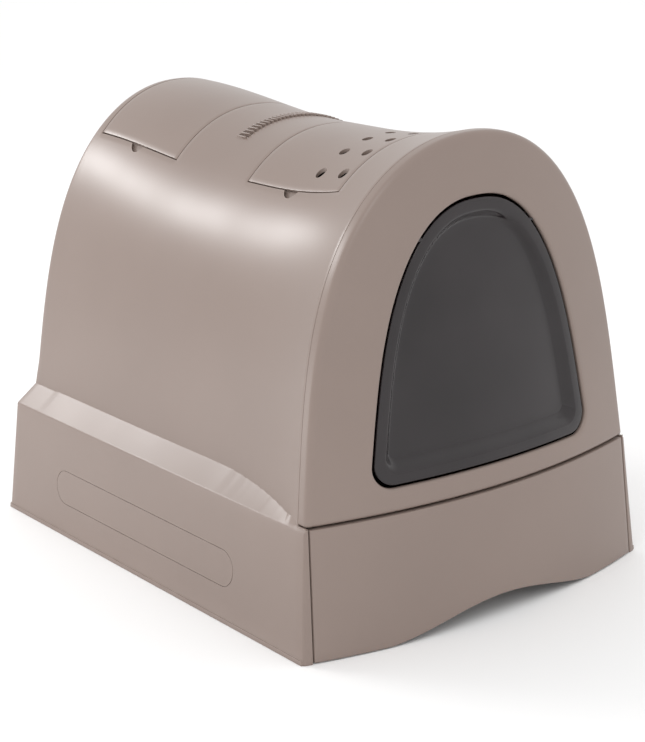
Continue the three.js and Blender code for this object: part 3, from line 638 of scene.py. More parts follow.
with editing(hood) as mesh:
    bpy.ops.mesh.select_all(action="SELECT")
    bpy.ops.mesh.bisect(plane_co=(0, 0, LIP_HIGH), plane_no=(0, 0, 1))
with editing(hood) as mesh:
    found = choose(mesh, "faces", outer_foot)
    bpy.ops.mesh.extrude_region_shrink_fatten(TRANSFORM_OT_shrink_fatten={"value": LIP})
print("faces in the lip:", found)
round_edges(hood, FINE_EDGE)

# %% [markdown]
# Where the step meets the rear edge, three roundings of different size run into one corner, and
# the wall's thickness can push a point of the inside out through the skin. The laws say where the
# skin is, so any point between the lip and the hood that stands outside it is put back on it.
# Points that the lip has pushed below the floor are lifted to its height.

# %% Keep the rear corners inside the skin
moved = 0
for vert in hood.data.vertices:
    vert.co.z = max(vert.co.z, 0.0)
    x, y, z = vert.co
    if y > 0 and LIP_HIGH + 2 * MM < z < STEP_HIGH + 8 * MM:
        over_step = max(base_half(STEP_LOW) - STEP_RUN * (z - STEP_LOW), REAR_HALF)
        reach = min(base_half(z), over_step) if z > STEP_LOW else base_half(z)
        inside = (min(max(x, -reach), reach), min(y, rear_y(z)), z)
        moved += (Vector(inside) - vert.co).length > 0.1 * MM
        vert.co = inside
print("points put back on the skin:", moved)

# %% [markdown]
# ### Hinges, notches, ribs and the side groove
#
# Each lid turns on a steel pin along its right edge. The pin runs in two knuckles of the hood, one
# at each end, and a barrel of the lid between them. The pins' places come from the joints of the
# mechanical model. At the left edge of each lid, the hood has a half-round notch for a finger.

# %% Hinge lines
joints = {joint["name"]: joint for joint in frame["joints"]}
KNUCKLE = 3.3 * MM
KNUCKLE_LENGTH = 14 * MM
KNUCKLE_GAP = 0.7 * MM
BORE = 1.55 * MM
hinge_lines = {}
for lid, name in (("filter_lid", "filter_lid_hinge"), ("scoop_lid", "scoop_lid_hinge")):
    begin = Vector(joints[name]["pos_m"])
    along = Vector(joints[name]["axis"]).normalized()
    length = (lids[lid][1] - lids[lid][0]) / along.y
    hinge_lines[lid] = (begin, along, length)
    print(name, "is", round(length, 4), "long")


def on_hinge(lid, start, end, radius, **more):
    begin, along, _ = hinge_lines[lid]
    return rod(begin + along * start, begin + along * end, radius, **more)


# %% Knuckles and notches of the hood
NOTCH = 12 * MM
NOTCH_DEEP = 5.2 * MM
for lid in lids:
    length = hinge_lines[lid][2]
    middle = sum(lids[lid]) / 2
    notch_x = NOTCH - NOTCH_DEEP - LID_HALF
    notch = rod((notch_x, middle, 0.3), (notch_x, middle, 0.5), NOTCH, 64)
    combine(hood, notch, "DIFFERENCE")
    clear = on_hinge(lid, KNUCKLE_LENGTH, length - KNUCKLE_LENGTH, KNUCKLE + KNUCKLE_GAP)
    combine(hood, clear, "DIFFERENCE")
    for start, end in ((-WALL, KNUCKLE_LENGTH - KNUCKLE_GAP),
                       (length - KNUCKLE_LENGTH + KNUCKLE_GAP, length + WALL)):
        combine(hood, on_hinge(lid, start, end, KNUCKLE, blunt=FINE_EDGE), "UNION")
    ends = (-WALL - FINE_GAP, length + WALL + FINE_GAP)
    combine(hood, on_hinge(lid, *ends, BORE, sides=32), "DIFFERENCE")
print("hood with knuckles:", len(hood.data.polygons), "faces")

# %% [markdown]
# Midway between the lids, a row of small ribs gives a grip to lift the box by. The wall is sunk
# between them, so the gaps lie in shade and the ribs stand out. One rib and one gap are blocks
# with rounded edges. They are copied across the roof, and each copy is tilted to sit square on it.

# %% Grip ribs
RIBS = 27
RIB_PITCH = 4.5 * MM
rib_y = (lids["filter_lid"][1] + lids["scoop_lid"][0]) / 2


def across_roof(first, places):
    """Copies of a piece at places across the roof, tilted with it and joined."""
    row = []
    for x in places:
        drop = float(roof_z(x - MM, rib_y) - roof_z(x + MM, rib_y))
        turn = Matrix.Rotation(math.atan2(drop, 2 * MM), 4, "Y")
        row.append(twin(first, Matrix.Translation((x, rib_y, float(roof_z(x, rib_y)))) @ turn))
    bpy.data.objects.remove(first)
    return weld(*row)


def rib_block(width, length, low, high, blunt, segments):
    return block((-width / 2, width / 2), (-length / 2, length / 2), (low, high), blunt, segments)


rib_places = [(number - (RIBS - 1) / 2) * RIB_PITCH for number in range(RIBS)]
gap = rib_block(2.6 * MM, 15 * MM, -2.2 * MM, 3 * MM, 0.4 * MM, 2)
gaps = across_roof(gap, [x + RIB_PITCH / 2 for x in rib_places[:-1]])
print("gaps add", combine(hood, gaps, "DIFFERENCE"), "faces")
rib = rib_block(1.8 * MM, 14 * MM, -2 * MM, 1.9 * MM, 0.7 * MM, 3)
print("ribs add", combine(hood, across_roof(rib, rib_places), "UNION"), "faces")

# %% [markdown]
# Low on each side a fine line outlines a long panel with round ends. It is a groove under a
# millimetre deep. Its tool is a ring stack through round-ended outlines, which bites into the wall
# by the groove's depth.

# %% Groove on both sides
GROOVE = {"front": 134 * MM, "rear": 94 * MM, "low": 32 * MM, "high": 66.5 * MM}
GROOVE_WIDE = 1 * MM
GROOVE_DEEP = 0.7 * MM


def round_ended(shrink, steps=24):
    """Outline of the panel as (y, z) pairs."""
    radius = (GROOVE["high"] - GROOVE["low"]) / 2
    z = GROOVE["low"] + radius
    begin, end = FRONT + GROOVE["front"] + radius, REAR - GROOVE["rear"] - radius
    pairs = []
    for start, y in ((np.pi / 2, begin), (-np.pi / 2, end)):
        for angle in np.linspace(start, start + np.pi, steps + 1):
            arm = radius - shrink
            pairs.append((y + arm * np.cos(angle), z + arm * np.sin(angle)))
    return pairs


for side in (-1, 1):
    def groove_ring(shrink, depth):
        return [(side * (base_half(z) - depth), y, z) for y, z in round_ended(shrink)]

    profile = ((0, -WALL), (0.25, GROOVE_DEEP), (0.75, GROOVE_DEEP), (1, -WALL))
    tool = ring_stack([groove_ring(s * GROOVE_WIDE, depth) for s, depth in profile], closed=True)
    print("groove adds", combine(hood, tool, "DIFFERENCE"), "faces")
settle(hood, "hood")
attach(hood, "housing")
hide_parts("hood_shell", "base_walls")

# %% [markdown]
# ## The roof lids
#
# A lid is the plate that came out of the roof, given its wall. Its right edge is pulled a little
# towards the hinge line, and the barrel is joined on. The front lid has two rows of round vents.


# %% Make the lids
TO_BARREL = (1.6 * MM, 0, -0.8 * MM)  # from the plate's edge into the barrel
PAST_ENDS = 20 * MM  # a tool reaches this far past the piece it cuts


def make_lid(lid):
    plate = plates[lid]
    start, end = lids[lid]
    length = hinge_lines[lid][2]
    inset = KNUCKLE_LENGTH + KNUCKLE_GAP
    with editing(plate, "EDGE") as mesh:
        choose(mesh, "edges", lambda e: e.is_boundary
               and centre(e).x > LID_HALF - HINGE_GAP - 0.1 * MM
               and start + inset < centre(e).y < end - inset)
        bpy.ops.mesh.extrude_edges_move(TRANSFORM_OT_translate={"value": TO_BARREL})
    thicken(plate, WALL)
    round_edges(plate, FINE_EDGE)
    combine(plate, on_hinge(lid, inset, length - inset, KNUCKLE, blunt=FINE_EDGE), "UNION")
    combine(plate, on_hinge(lid, -PAST_ENDS, length + PAST_ENDS, BORE, sides=32), "DIFFERENCE")
    return plate


scoop_lid = settle(make_lid("scoop_lid"), "scoop_hatch_lid")
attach(scoop_lid, "scoop_hatch")
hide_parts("scoop_lid")

# %% Vents in the front lid
VENT = 5 * MM
VENT_PITCH = 26 * MM
VENT_COLUMNS = 7
VENT_ROWS = (14 * MM, 45 * MM)  # from the front edge of the lid's hole
filter_lid = make_lid("filter_lid")
vent_tools = []
for row in VENT_ROWS:
    for column in range(VENT_COLUMNS):
        x = (column - (VENT_COLUMNS - 1) / 2) * VENT_PITCH
        y = lids["filter_lid"][0] + row
        vent_tools.append(rod((x, y, 0.3), (x, y, 0.5), VENT, 40))
combine(filter_lid, weld(*vent_tools), "DIFFERENCE")
settle(filter_lid, "vented_lid")
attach(filter_lid, "filter_hatch")
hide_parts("filter_lid")

# %% [markdown]
# ## The front frame
#
# The frame is an arch with an arched opening. Its face follows the bulge of the front, its outer
# rim turns back to meet the hood, and a tongue behind it slips into the hood. All of that is one
# closed section carried round the arch, so a ring stack makes it: every ring is an outline moved
# inwards by some inset and set back by some depth from the front face.

# %% Outlines
OPENING_CURVE = {"sides": 2.394, "crown": 3.396, "taper": 0.273}
OPENING_HALF = 124.7 * MM
OPENING_RISE = 213.8 * MM
SILL = BASE_TOP + 21.4 * MM
CORNER = 20 * MM
OPENING_ROUND = 3 * MM
OPENING_DEEP = 5 * MM  # how far the edge of the opening turns back
RIM_ROUND = 5 * MM
RIM_STRAIGHT = 8 * MM  # depth at which the rim has an extra ring
TONGUE = 8 * MM
FRAME_FOOT = BASE_TOP + SEAM / 2
ARC_STEPS = 110


def arch_outline(half_width, rise, curve, spring, foot, corner):
    """A closed outline as (x, z) pairs: over the arch from right to left, back along the foot."""
    corner_z = foot + corner
    first = math.asin((max(corner_z - spring, 0) / rise) ** (curve["crown"] / 2))
    angle = np.linspace(first, np.pi - first, 6000)
    x, z = arch(half_width, rise, curve, angle)
    length = np.append(0, np.cumsum(np.hypot(np.diff(x), np.diff(z))))
    spots = np.linspace(0, length[-1], ARC_STEPS + 1)
    pairs = list(zip(np.interp(spots, length, x), np.interp(spots, length, z) + spring))
    side = pairs[0][0]
    pairs[0], pairs[-1] = (side, corner_z), (-side, corner_z)
    turns = np.linspace(0, np.pi / 2, 9)
    for turn in turns[1:]:
        pairs.append((-side + corner * (1 - np.cos(turn)), corner_z - corner * np.sin(turn)))
    for share in np.linspace(0, 1, 35)[1:-1]:
        pairs.append((mix(-side + corner, side - corner, share), foot))
    for turn in turns[::-1][:-1]:
        pairs.append((side - corner * (1 - np.cos(turn)), corner_z - corner * np.sin(turn)))
    return np.array(pairs)


def frame_outline(inset, depth=0.0):
    length = rear_y(BASE_TOP) - front_y(0, BASE_TOP) - RIM_DEPTH
    half_width, rise = hood_arch((depth - RIM_DEPTH) / length, inset)
    corner = max(3 * MM - inset, MM)
    return arch_outline(half_width, rise, HOOD_CURVE, BASE_TOP, FRAME_FOOT + inset, corner)


def opening_outline(inset):
    corner = max(CORNER - 0.6 * inset, 4 * MM)
    return arch_outline(OPENING_HALF - inset, OPENING_RISE - inset, OPENING_CURVE,
                        SILL + CORNER, SILL + inset, corner)


def on_front(outline, depth):
    """An outline laid on the front face, set back by a depth."""
    x, z = outline[:, 0], outline[:, 1]
    return np.stack([x, front_y(x, z) + depth, z], axis=1)


print("points round the opening:", len(opening_outline(0)))

# %% Frame
quarter = np.linspace(0, np.pi / 2, 7)
rings = [on_front(frame_outline(FINE_EDGE), RIM_DEPTH)]
rings += [on_front(frame_outline(0), depth) for depth in (RIM_DEPTH - FINE_EDGE, RIM_STRAIGHT)]
rings += [on_front(frame_outline(RIM_ROUND * (1 - np.cos(t))), RIM_ROUND * (1 - np.sin(t)))
          for t in quarter]
face, edge = frame_outline(RIM_ROUND), opening_outline(-OPENING_ROUND)
rings += [on_front(mix(face, edge, s), 0) for s in np.linspace(0, 1, 17)[1:]]
rings += [on_front(opening_outline(-OPENING_ROUND * (1 - np.sin(t))),
                   OPENING_ROUND * (1 - np.cos(t))) for t in quarter[1:]]
rings += [on_front(opening_outline(0), OPENING_DEEP - FINE_EDGE),
          on_front(opening_outline(-FINE_EDGE), OPENING_DEEP),
          on_front(opening_outline(-OPENING_ROUND), OPENING_DEEP)]
back = frame_outline(2 * WALL)
rings += [on_front(mix(edge, back, s), WALL) for s in np.linspace(0, 1, 9)]
tongue_depth = RIM_DEPTH + TONGUE
rings += [on_front(frame_outline(2 * WALL, tongue_depth), tongue_depth),
          on_front(frame_outline(WALL + MM, tongue_depth), tongue_depth),
          on_front(frame_outline(WALL + MM), RIM_DEPTH)]
fascia = ring_stack(rings, closed=True)
print("frame:", len(fascia.data.polygons), "faces from", len(rings), "rings")

# %% Sockets for the flap
PEG = 2 * MM
PEG_LENGTH = 7 * MM  # of each peg in its socket
SOCKET_WIDE = 10 * MM
pivot = Vector(joints["door_swing"]["pos_m"])
right_x, right_z = opening_outline(0)[: ARC_STEPS // 2 + 1].T
opening_at_pivot = float(np.interp(pivot.z, right_z, right_x))
socket_x = opening_at_pivot + 5 * MM
for side in (-1, 1):
    reach = sorted((side * socket_x, side * (socket_x + SOCKET_WIDE)))
    socket = block(reach, (pivot.y - PEG, pivot.y + PEG + WALL),
                   (pivot.z - SOCKET_WIDE / 2, pivot.z + SOCKET_WIDE / 2), 0.4 * MM, 2)
    combine(fascia, socket, "UNION")
    bore_end = side * (socket_x + PEG_LENGTH + FINE_GAP)
    bore = rod((0, pivot.y, pivot.z), (bore_end, pivot.y, pivot.z), PEG + 0.05 * MM)
    combine(fascia, bore, "DIFFERENCE")
print("opening is", round(2 * opening_at_pivot, 4), "wide at the flap's pegs")
settle(fascia, "front_frame")
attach(fascia, "housing")
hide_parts("front_fascia")

# %% [markdown]
# ## The swing flap
#
# The flap is pressed from smoked clear sheet. A flat flange runs round it, just behind the edge of
# the opening, and inside the flange the sheet drops back into a shallow dish. The slope between
# them has two soft bends. Those bends, and not the flat middle, are what catches the light, so the
# slope gets many rings with a smooth fall. It hangs on two pegs near its top.

# %% Flap
FLAP_GAP = 2.6 * MM
FLANGE_WIDE = 9 * MM
SLOPE_WIDE = 11 * MM
RECESS = 2 * MM
THICK = 2.4 * MM
DISH = 9 * MM
SOFT = 0.7 * MM  # rounding of the flap's rim


def flap_ring(inset, depth):
    return on_front(opening_outline(FLAP_GAP + inset), RECESS + depth)


def slope(depth):
    """Rings from the flange down to the dish."""
    return [flap_ring(FLANGE_WIDE + s * SLOPE_WIDE, depth + DISH * fall(s))
            for s in np.linspace(0, 1, 13)]


def dish(depth):
    """Rings from a small one in the middle out to the foot of the slope."""
    edge = opening_outline(FLAP_GAP + FLANGE_WIDE + SLOPE_WIDE)
    middle = np.array([0, SILL + 0.45 * (CORNER + OPENING_RISE)])
    return [on_front(mix(middle, edge, s), RECESS + depth + DISH)
            for s in np.linspace(0.04, 1, 16)[:-1]]


rings = dish(0) + slope(0)[::-1] + [flap_ring(SOFT, 0)]
rings += [flap_ring(SOFT * (1 - np.sin(t)), SOFT * (1 - np.cos(t))) for t in quarter[1::2]]
rings += [flap_ring(0, THICK - SOFT), flap_ring(SOFT, THICK)]
rings += slope(THICK) + dish(THICK)[::-1]
flap = cap_ends(ring_stack(rings), lambda place: place.y < front_y(0, place.z) + RECESS + DISH + MM)
for side in (-1, 1):
    root, tip = opening_at_pivot - FLAP_GAP - FLANGE_WIDE, socket_x + PEG_LENGTH
    peg = rod((side * root, pivot.y, pivot.z), (side * tip, pivot.y, pivot.z), PEG, 32, 0.3 * MM)
    combine(flap, peg, "UNION")
settle(flap, "smoked_flap", 40)
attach(flap, "door")
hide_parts("door_flap")

# %% [markdown]
# ## The drawer
#
# The drawer's front is a hollow panel: a bulged face, short returns at its sides and a shelf at its
# top that hooks over the tray. Its lower edge rises in a wave, where fingers reach under to pull.
# It is again laid as a sheet, with the shelf and the returns as its outer rows and columns.

# %% Drawer front
DRAWER_TOP = BASE_TOP - SEAM / 2
DRAWER_WALL = 2.6 * MM
DRAWER_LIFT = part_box("drawer_front")[0].z
PANEL_EDGE = 6 * MM
SHELF_INSET = 5 * MM
shelf_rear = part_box("drawer_front")[1].y


def wave(x):
    lift = WAVE_HIGH * 0.5 * (1 + np.cos(np.pi * np.clip(np.abs(x) / WAVE_HALF, 0, 1)))
    return np.maximum(lift, DRAWER_LIFT)


inner = np.linspace(-1, 1, 73)
face_rows = np.linspace(0, 1, 19)
panel = []
for row in face_rows:
    x = inner * drawer_half(0.0)
    for _ in range(2):  # the width depends on the height, and the wave on the width
        z = mix(wave(x), DRAWER_TOP, row)
        limit = drawer_half(z)
        x = inner * (limit - SHELF_INSET)
    edge_z = mix(wave(np.array([limit[0]])), DRAWER_TOP, row)[0]
    edge_x = drawer_half(edge_z)
    x = np.concatenate([[-edge_x, -edge_x], x, [edge_x, edge_x]])
    z = np.concatenate([[edge_z, edge_z], z, [edge_z, edge_z]])
    depth = np.zeros(len(x))
    depth[[0, -1]] = PANEL_EDGE
    panel.append(np.stack([x, front_y(x, z) + depth, z], axis=1))
top_row = panel[-1]
for share in (0.0, 0.5, 1.0):
    shelf = top_row.copy()
    shelf[:, 1] = mix(front_y(shelf[:, 0], shelf[:, 2]) + PANEL_EDGE, shelf_rear, share)
    panel.append(shelf)
points = np.array(panel)
keep = np.ones(points.shape[:2], bool)
keep[len(face_rows):, [0, -1]] = False
keep[len(face_rows) + 1:, [1, -2]] = False
drawer_panel = merge_close(sheet(points, keep))
thicken(drawer_panel, DRAWER_WALL)
round_edges(drawer_panel, 0.9 * MM, 3)
print("drawer front:", len(drawer_panel.data.polygons), "faces")

# %% Gussets behind the drawer front
GUSSET_X = (95 * MM, drawer_half(DRAWER_TOP) - SHELF_INSET - 2 * DRAWER_WALL)
GUSSET_END = shelf_rear - 10.4 * MM  # just before the face of the tray
GUSSET_LOW = WAVE_HIGH + 2 * MM
GUSSET_HIGH = DRAWER_TOP - DRAWER_WALL / 2
for side in (-1, 1):
    for x in GUSSET_X:
        begin = float(front_y(x + DRAWER_WALL, WAVE_HIGH)) + 1.4 * MM
        span = sorted((side * x, side * (x + DRAWER_WALL)))
        gusset = block(span, (begin, GUSSET_END), (GUSSET_LOW, GUSSET_HIGH))
        with editing(gusset, "VERT") as mesh:
            choose(mesh, "verts", lambda v: v.co.z > GUSSET_HIGH - MM and v.co.y < begin + MM)
            lean = FRONT_LEAN * (GUSSET_HIGH - GUSSET_LOW)
            bpy.ops.transform.translate(value=(0, lean, 0))
        combine(drawer_panel, gusset, "UNION")
settle(drawer_panel, "drawer_face")
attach(drawer_panel, "drawer")
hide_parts("drawer_front")

# %% [markdown]
# The tray is a plain deep pan with a lip round its top and generous corners, easy to empty and to
# wash. Its section is the same all round, so it is a ring stack of rounded rectangles, closed over
# the floor inside and below.

# %% Litter tray
tray_low, tray_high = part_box("drawer_tray")
TRAY_LIP = 4 * MM
TRAY_DRAFT = 9 * MM
TRAY_ROUND = 6 * MM
TRAY_CORNER = 26 * MM
TRAY_FLOOR = 40 * MM  # the floor's last ring lies this far inside its edge


def rounded_rectangle(half_width, front, rear, corner, z, steps=10):
    points = []
    for quarter_turn, (x, y) in enumerate((
        (half_width - corner, rear - corner), (corner - half_width, rear - corner),
        (corner - half_width, front + corner), (half_width - corner, front + corner),
    )):
        for share in np.linspace(0, 1, steps + 1):
            angle = (quarter_turn + share) * np.pi / 2
            points.append((x + corner * np.cos(angle), y + corner * np.sin(angle), z))
    return points


def tray_ring(inset, z):
    corner = max(TRAY_CORNER - 0.6 * inset, 5 * MM)
    front, rear = tray_low.y + inset, tray_high.y - inset
    return rounded_rectangle(tray_high.x - inset, front, rear, corner, z)


foot = TRAY_LIP + TRAY_DRAFT
bottom, top = tray_low.z, tray_high.z
turns = np.linspace(0, np.pi / 2, 6)
inside, mouth = foot + DRAWER_WALL, TRAY_LIP + DRAWER_WALL
lip = ((TRAY_LIP, DRAWER_WALL), (0.4 * MM, DRAWER_WALL), (0, DRAWER_WALL - 0.4 * MM), (0, 0.8 * MM),
       (0.8 * MM, 0), (mouth - 1.2 * MM, 0), (mouth - 0.3 * MM, 0.4 * MM), (mouth, 1.4 * MM))
rings = [tray_ring(foot + TRAY_FLOOR, bottom)]
rings += [tray_ring(foot + TRAY_ROUND * (1 - np.sin(t)), bottom + TRAY_ROUND * (1 - np.cos(t)))
          for t in turns]
rings += [tray_ring(inset, top - below) for inset, below in lip]
rings += [tray_ring(inside + TRAY_ROUND * (1 - np.cos(t)),
                    bottom + DRAWER_WALL + TRAY_ROUND * (1 - np.sin(t))) for t in turns]
rings += [tray_ring(inside + TRAY_FLOOR, bottom + DRAWER_WALL)]
tray = cap_ends(ring_stack(rings), lambda place: place.z < bottom + MM)
settle(tray, "litter_tray")
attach(tray, "drawer")
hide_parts("drawer_tray")

# %% [markdown]
# Under the tray lies the floor pan. It closes the box below, and the tray slides on its two raised
# runners. It is worked by hand from one block: the top is inset and pushed down, and the front is
# opened so that the tray can pass.

# %% Floor pan
floor_low, floor_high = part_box("base_floor")
RIM = 3 * MM
RUNNER_WIDE = 8 * MM
RUNNER_TOP = 4.6 * MM  # the tray slides on this
RUNNER_INSET = 44 * MM  # from the drawer's side to the middle of a runner
floor_pan = block((floor_low.x, floor_high.x), (floor_low.y, floor_high.y),
                  (floor_low.z, floor_high.z))
with editing(floor_pan) as mesh:
    choose(mesh, "faces", lambda f: f.normal.z > 0.9)
    bpy.ops.mesh.inset(thickness=RIM)
    bpy.ops.mesh.extrude_region_move(TRANSFORM_OT_translate={"value": (0, 0, RIM - floor_high.z)})
mouth = block((floor_low.x + RIM, floor_high.x - RIM), (floor_low.y - RIM, floor_low.y + 2 * RIM),
              (RIM, floor_high.z + RIM))
combine(floor_pan, mouth, "DIFFERENCE")
round_edges(floor_pan, 0.6 * MM)
runner_x = drawer_half(BASE_TOP) - RUNNER_INSET
for side in (-1, 1):
    runner = block((side * runner_x - RUNNER_WIDE / 2, side * runner_x + RUNNER_WIDE / 2),
                   (floor_low.y + 0.2 * MM, floor_high.y - RIM - 0.2 * MM),
                   (RIM / 2, RUNNER_TOP), 0.7 * MM)
    combine(floor_pan, runner, "UNION")
settle(floor_pan, "floor_pan")
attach(floor_pan, "housing")
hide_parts("base_floor")

# %% [markdown]
# ## The bins under the lids
#
# Each lid closes a shallow bin that hangs in the roof. The bin's flange lies close under the roof
# and carries the lid, so it has the roof's curve. It is a sheet on that curve. The faces in its
# middle are removed, and the edge of the hole is pulled straight down to the floor of the bin.

# %% Make the bins
LEDGE = 6 * MM
FLANGE = 5 * MM
BIN_WALL = 2.4 * MM
bin_half = LID_HALF - LEDGE
bin_floor = {"filter_lid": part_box("filter_basket")[0].z + BIN_WALL,
             "scoop_lid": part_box("scoop_well")[0].z + BIN_WALL}


def make_bin(lid):
    start, end = lids[lid]
    inner_y = np.linspace(start + LEDGE, end - LEDGE, 21)
    y = np.concatenate([[start - FLANGE, start], inner_y, [end, end + FLANGE]])
    inner_x = np.linspace(-bin_half, bin_half, 35)
    x = np.concatenate([[-LID_HALF - FLANGE, -LID_HALF], inner_x, [LID_HALF, LID_HALF + FLANGE]])
    grid_x, grid_y = np.meshgrid(x, y)
    grid_z = roof_z(grid_x, grid_y, WALL + FINE_GAP)
    made = sheet(np.stack([grid_x, grid_y, grid_z], axis=2))
    with editing(made) as mesh:
        choose(mesh, "faces", lambda f: abs(f.calc_center_median().x) < bin_half
               and start + LEDGE < f.calc_center_median().y < end - LEDGE)
        bpy.ops.mesh.delete(type="FACE")
    with editing(made, "EDGE") as mesh:
        choose(mesh, "edges", lambda e: e.is_boundary
               and abs(centre(e).x) < bin_half + 0.1 * MM
               and start + LEDGE - 0.1 * MM < centre(e).y < end - LEDGE + 0.1 * MM)
        for _ in range(2):
            bpy.ops.mesh.extrude_edges_move(TRANSFORM_OT_translate={"value": (0, 0, -4 * MM)})
        mesh = bmesh.from_edit_mesh(made.data)
        for vert in mesh.verts:
            if vert.select:
                vert.co.z = bin_floor[lid]
        bpy.ops.mesh.edge_face_add()
    thicken(made, BIN_WALL)
    round_edges(made, 0.6 * MM)
    length = hinge_lines[lid][2]
    clear = on_hinge(lid, -PAST_ENDS, length + PAST_ENDS, KNUCKLE + KNUCKLE_GAP)
    combine(made, clear, "DIFFERENCE")
    return made


scoop_bin = settle(make_bin("scoop_lid"), "scoop_bin")
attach(scoop_bin, "housing")
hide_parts("scoop_well")

# %% Slots in the floor of the filter bin
SLOT_WIDE = 6 * MM
SLOT_INSET = 14 * MM  # from the lid's hole to the end of a slot
SLOT_PITCH = 15 * MM
SLOTS_BESIDE = 5  # on each side of the middle slot
filter_bin = make_bin("filter_lid")
start, end = lids["filter_lid"]
floor_z = bin_floor["filter_lid"]
slot = block((-SLOT_WIDE / 2, SLOT_WIDE / 2), (start + SLOT_INSET, end - SLOT_INSET),
             (floor_z - 10 * MM, floor_z + 3 * MM))
round_uprights(slot, SLOT_WIDE / 2 - 0.1 * MM, 6)
shifts = [(i * SLOT_PITCH, 0, 0) for i in range(-SLOTS_BESIDE, SLOTS_BESIDE + 1) if i]
combine(filter_bin, copies(slot, shifts), "DIFFERENCE")
settle(filter_bin, "filter_bin")
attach(filter_bin, "housing")
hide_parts("filter_basket")

# %% [markdown]
# ## What the bins hold
#
# The filter is a pad of charcoal felt. Felt is cut from a thick web, so it is a flat pad with soft,
# slightly uneven faces and sheared edges. A block is cut into a fine grid, its faces are quilted by
# a gentle wave in both directions, and a fine displacement from a noise texture roughens it.

# %% Carbon filter pad
QUILT = 21 * MM  # from one dimple to the next
FELT_GRID = 3 * MM
pad_low, pad_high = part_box("carbon_filter")
pad = block((pad_low.x + MM, pad_high.x - MM), (pad_low.y + MM, pad_high.y - MM),
            (pad_low.z + 0.6 * MM, pad_high.z - MM), 3 * MM, 4)
with editing(pad, "EDGE") as mesh:
    for normal, low, high in (((1, 0, 0), pad_low.x, pad_high.x),
                              ((0, 1, 0), pad_low.y, pad_high.y)):
        for place in np.linspace(low, high, 1 + int((high - low) / FELT_GRID))[1:-1]:
            bpy.ops.mesh.select_all(action="SELECT")
            bpy.ops.mesh.bisect(plane_co=Vector(normal) * place, plane_no=normal)
for vert in pad.data.vertices:
    if vert.co.z > (pad_low.z + pad_high.z) / 2:
        quilt = math.sin(math.pi * vert.co.x / QUILT) * math.sin(math.pi * vert.co.y / QUILT)
        vert.co.z += 0.5 * MM * quilt * min(1.0, 40 * (pad_high.x - abs(vert.co.x)))
felt_noise = bpy.data.textures.new("felt", "CLOUDS")
felt_noise.noise_scale = 4 * MM
felt_noise.noise_depth = 2
finish_modifier(pad, "DISPLACE", texture=felt_noise, strength=0.5 * MM, mid_level=0.5,
                texture_coords="GLOBAL")
settle(pad, "carbon_pad", 60)
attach(pad, "housing")
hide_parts("carbon_filter")

# %% [markdown]
# The scoop is a small rounded pan with slots that the sand falls through, and a flat handle with
# an eye. The pan is a ring stack, the slots are cut, and the handle is worked from a block whose
# end corners are bevelled until they meet in a half circle.

# %% Scoop
scoop_low, scoop_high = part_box("litter_scoop")
BOWL = 84 * MM
BOWL_WIDE = 90 * MM
THIN = 2.4 * MM
HANDLE_WIDE = 26 * MM
EYE = 5.2 * MM
SIEVE_WIDE = 5 * MM
SIEVE_PITCH = 11.2 * MM
SIEVE_INSET = 16 * MM  # from the ends of the bowl to the ends of the slots
scoop_y = sum(lids["scoop_lid"]) / 2


def bowl_ring(inset, z, corner=12 * MM):
    ring = rounded_rectangle(BOWL / 2 - inset, scoop_y - BOWL_WIDE / 2 + inset,
                             scoop_y + BOWL_WIDE / 2 - inset, corner - inset / 2, z)
    return [(x - BOWL / 2, y, z) for x, y, z in ring]


low, high = scoop_low.z, scoop_high.z
skin = ((22, 0), (8.5, 0), (6.6, 0.7), (5.6, 2.2))  # mm inwards and up, outside, from the floor
lining = ((5.8, 4.2), (7.0, 2.8), (9.0, 2.4))  # and inside, down to the floor
rings = [bowl_ring(inset * MM, low + up * MM) for inset, up in skin]
rings += [bowl_ring(0.3 * MM, high - 0.6 * MM), bowl_ring(0.6 * MM, high),
          bowl_ring(THIN - 0.4 * MM, high), bowl_ring(THIN, high - 0.5 * MM)]
rings += [bowl_ring(inset * MM + THIN, low + up * MM) for inset, up in lining]
rings += [bowl_ring(22 * MM, low + THIN)]
scoop = cap_ends(ring_stack(rings), lambda place: place.z < low + 0.1 * MM)
slot_y = scoop_y - 2.5 * SIEVE_PITCH
slot = block((SIEVE_INSET - BOWL, -SIEVE_INSET), (slot_y - SIEVE_WIDE / 2, slot_y + SIEVE_WIDE / 2),
             (low - 2 * THIN, low + 2 * THIN))
round_uprights(slot, SIEVE_WIDE / 2 - 0.1 * MM, 6)
combine(scoop, copies(slot, [(0, i * SIEVE_PITCH, 0) for i in range(1, 6)]), "DIFFERENCE")
handle = block((-THIN + 0.4 * MM, scoop_high.x),
               (scoop_y - HANDLE_WIDE / 2, scoop_y + HANDLE_WIDE / 2), (high - 2 * THIN, high))
round_uprights(handle, HANDLE_WIDE / 2 - 0.1 * MM, 12, beyond=scoop_high.x - MM)
eye_x = scoop_high.x - HANDLE_WIDE / 2
eye = rod((eye_x, scoop_y, low), (eye_x, scoop_y, high + 5 * MM), EYE)
combine(handle, eye, "DIFFERENCE")
round_edges(handle, 0.9 * MM, 3)
combine(scoop, handle, "UNION")
settle(scoop, "sifting_scoop")
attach(scoop, "housing")
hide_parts("litter_scoop")

# %% [markdown]
# ## Finishes
#
# The shell is coloured through, so there is no paint to chip. What makes real moulded plastic look
# real is small: a fine grain from the mould, a faint unevenness of gloss where the melt cooled at
# different rates, edges rubbed a little paler by hands, and dust that settles on what faces up.
# Each effect is one node group, built once and shared, and each group only hands a mask, a colour
# or a height to the material. The patterns are read in object coordinates, so they stay in place
# on the piece from every side.


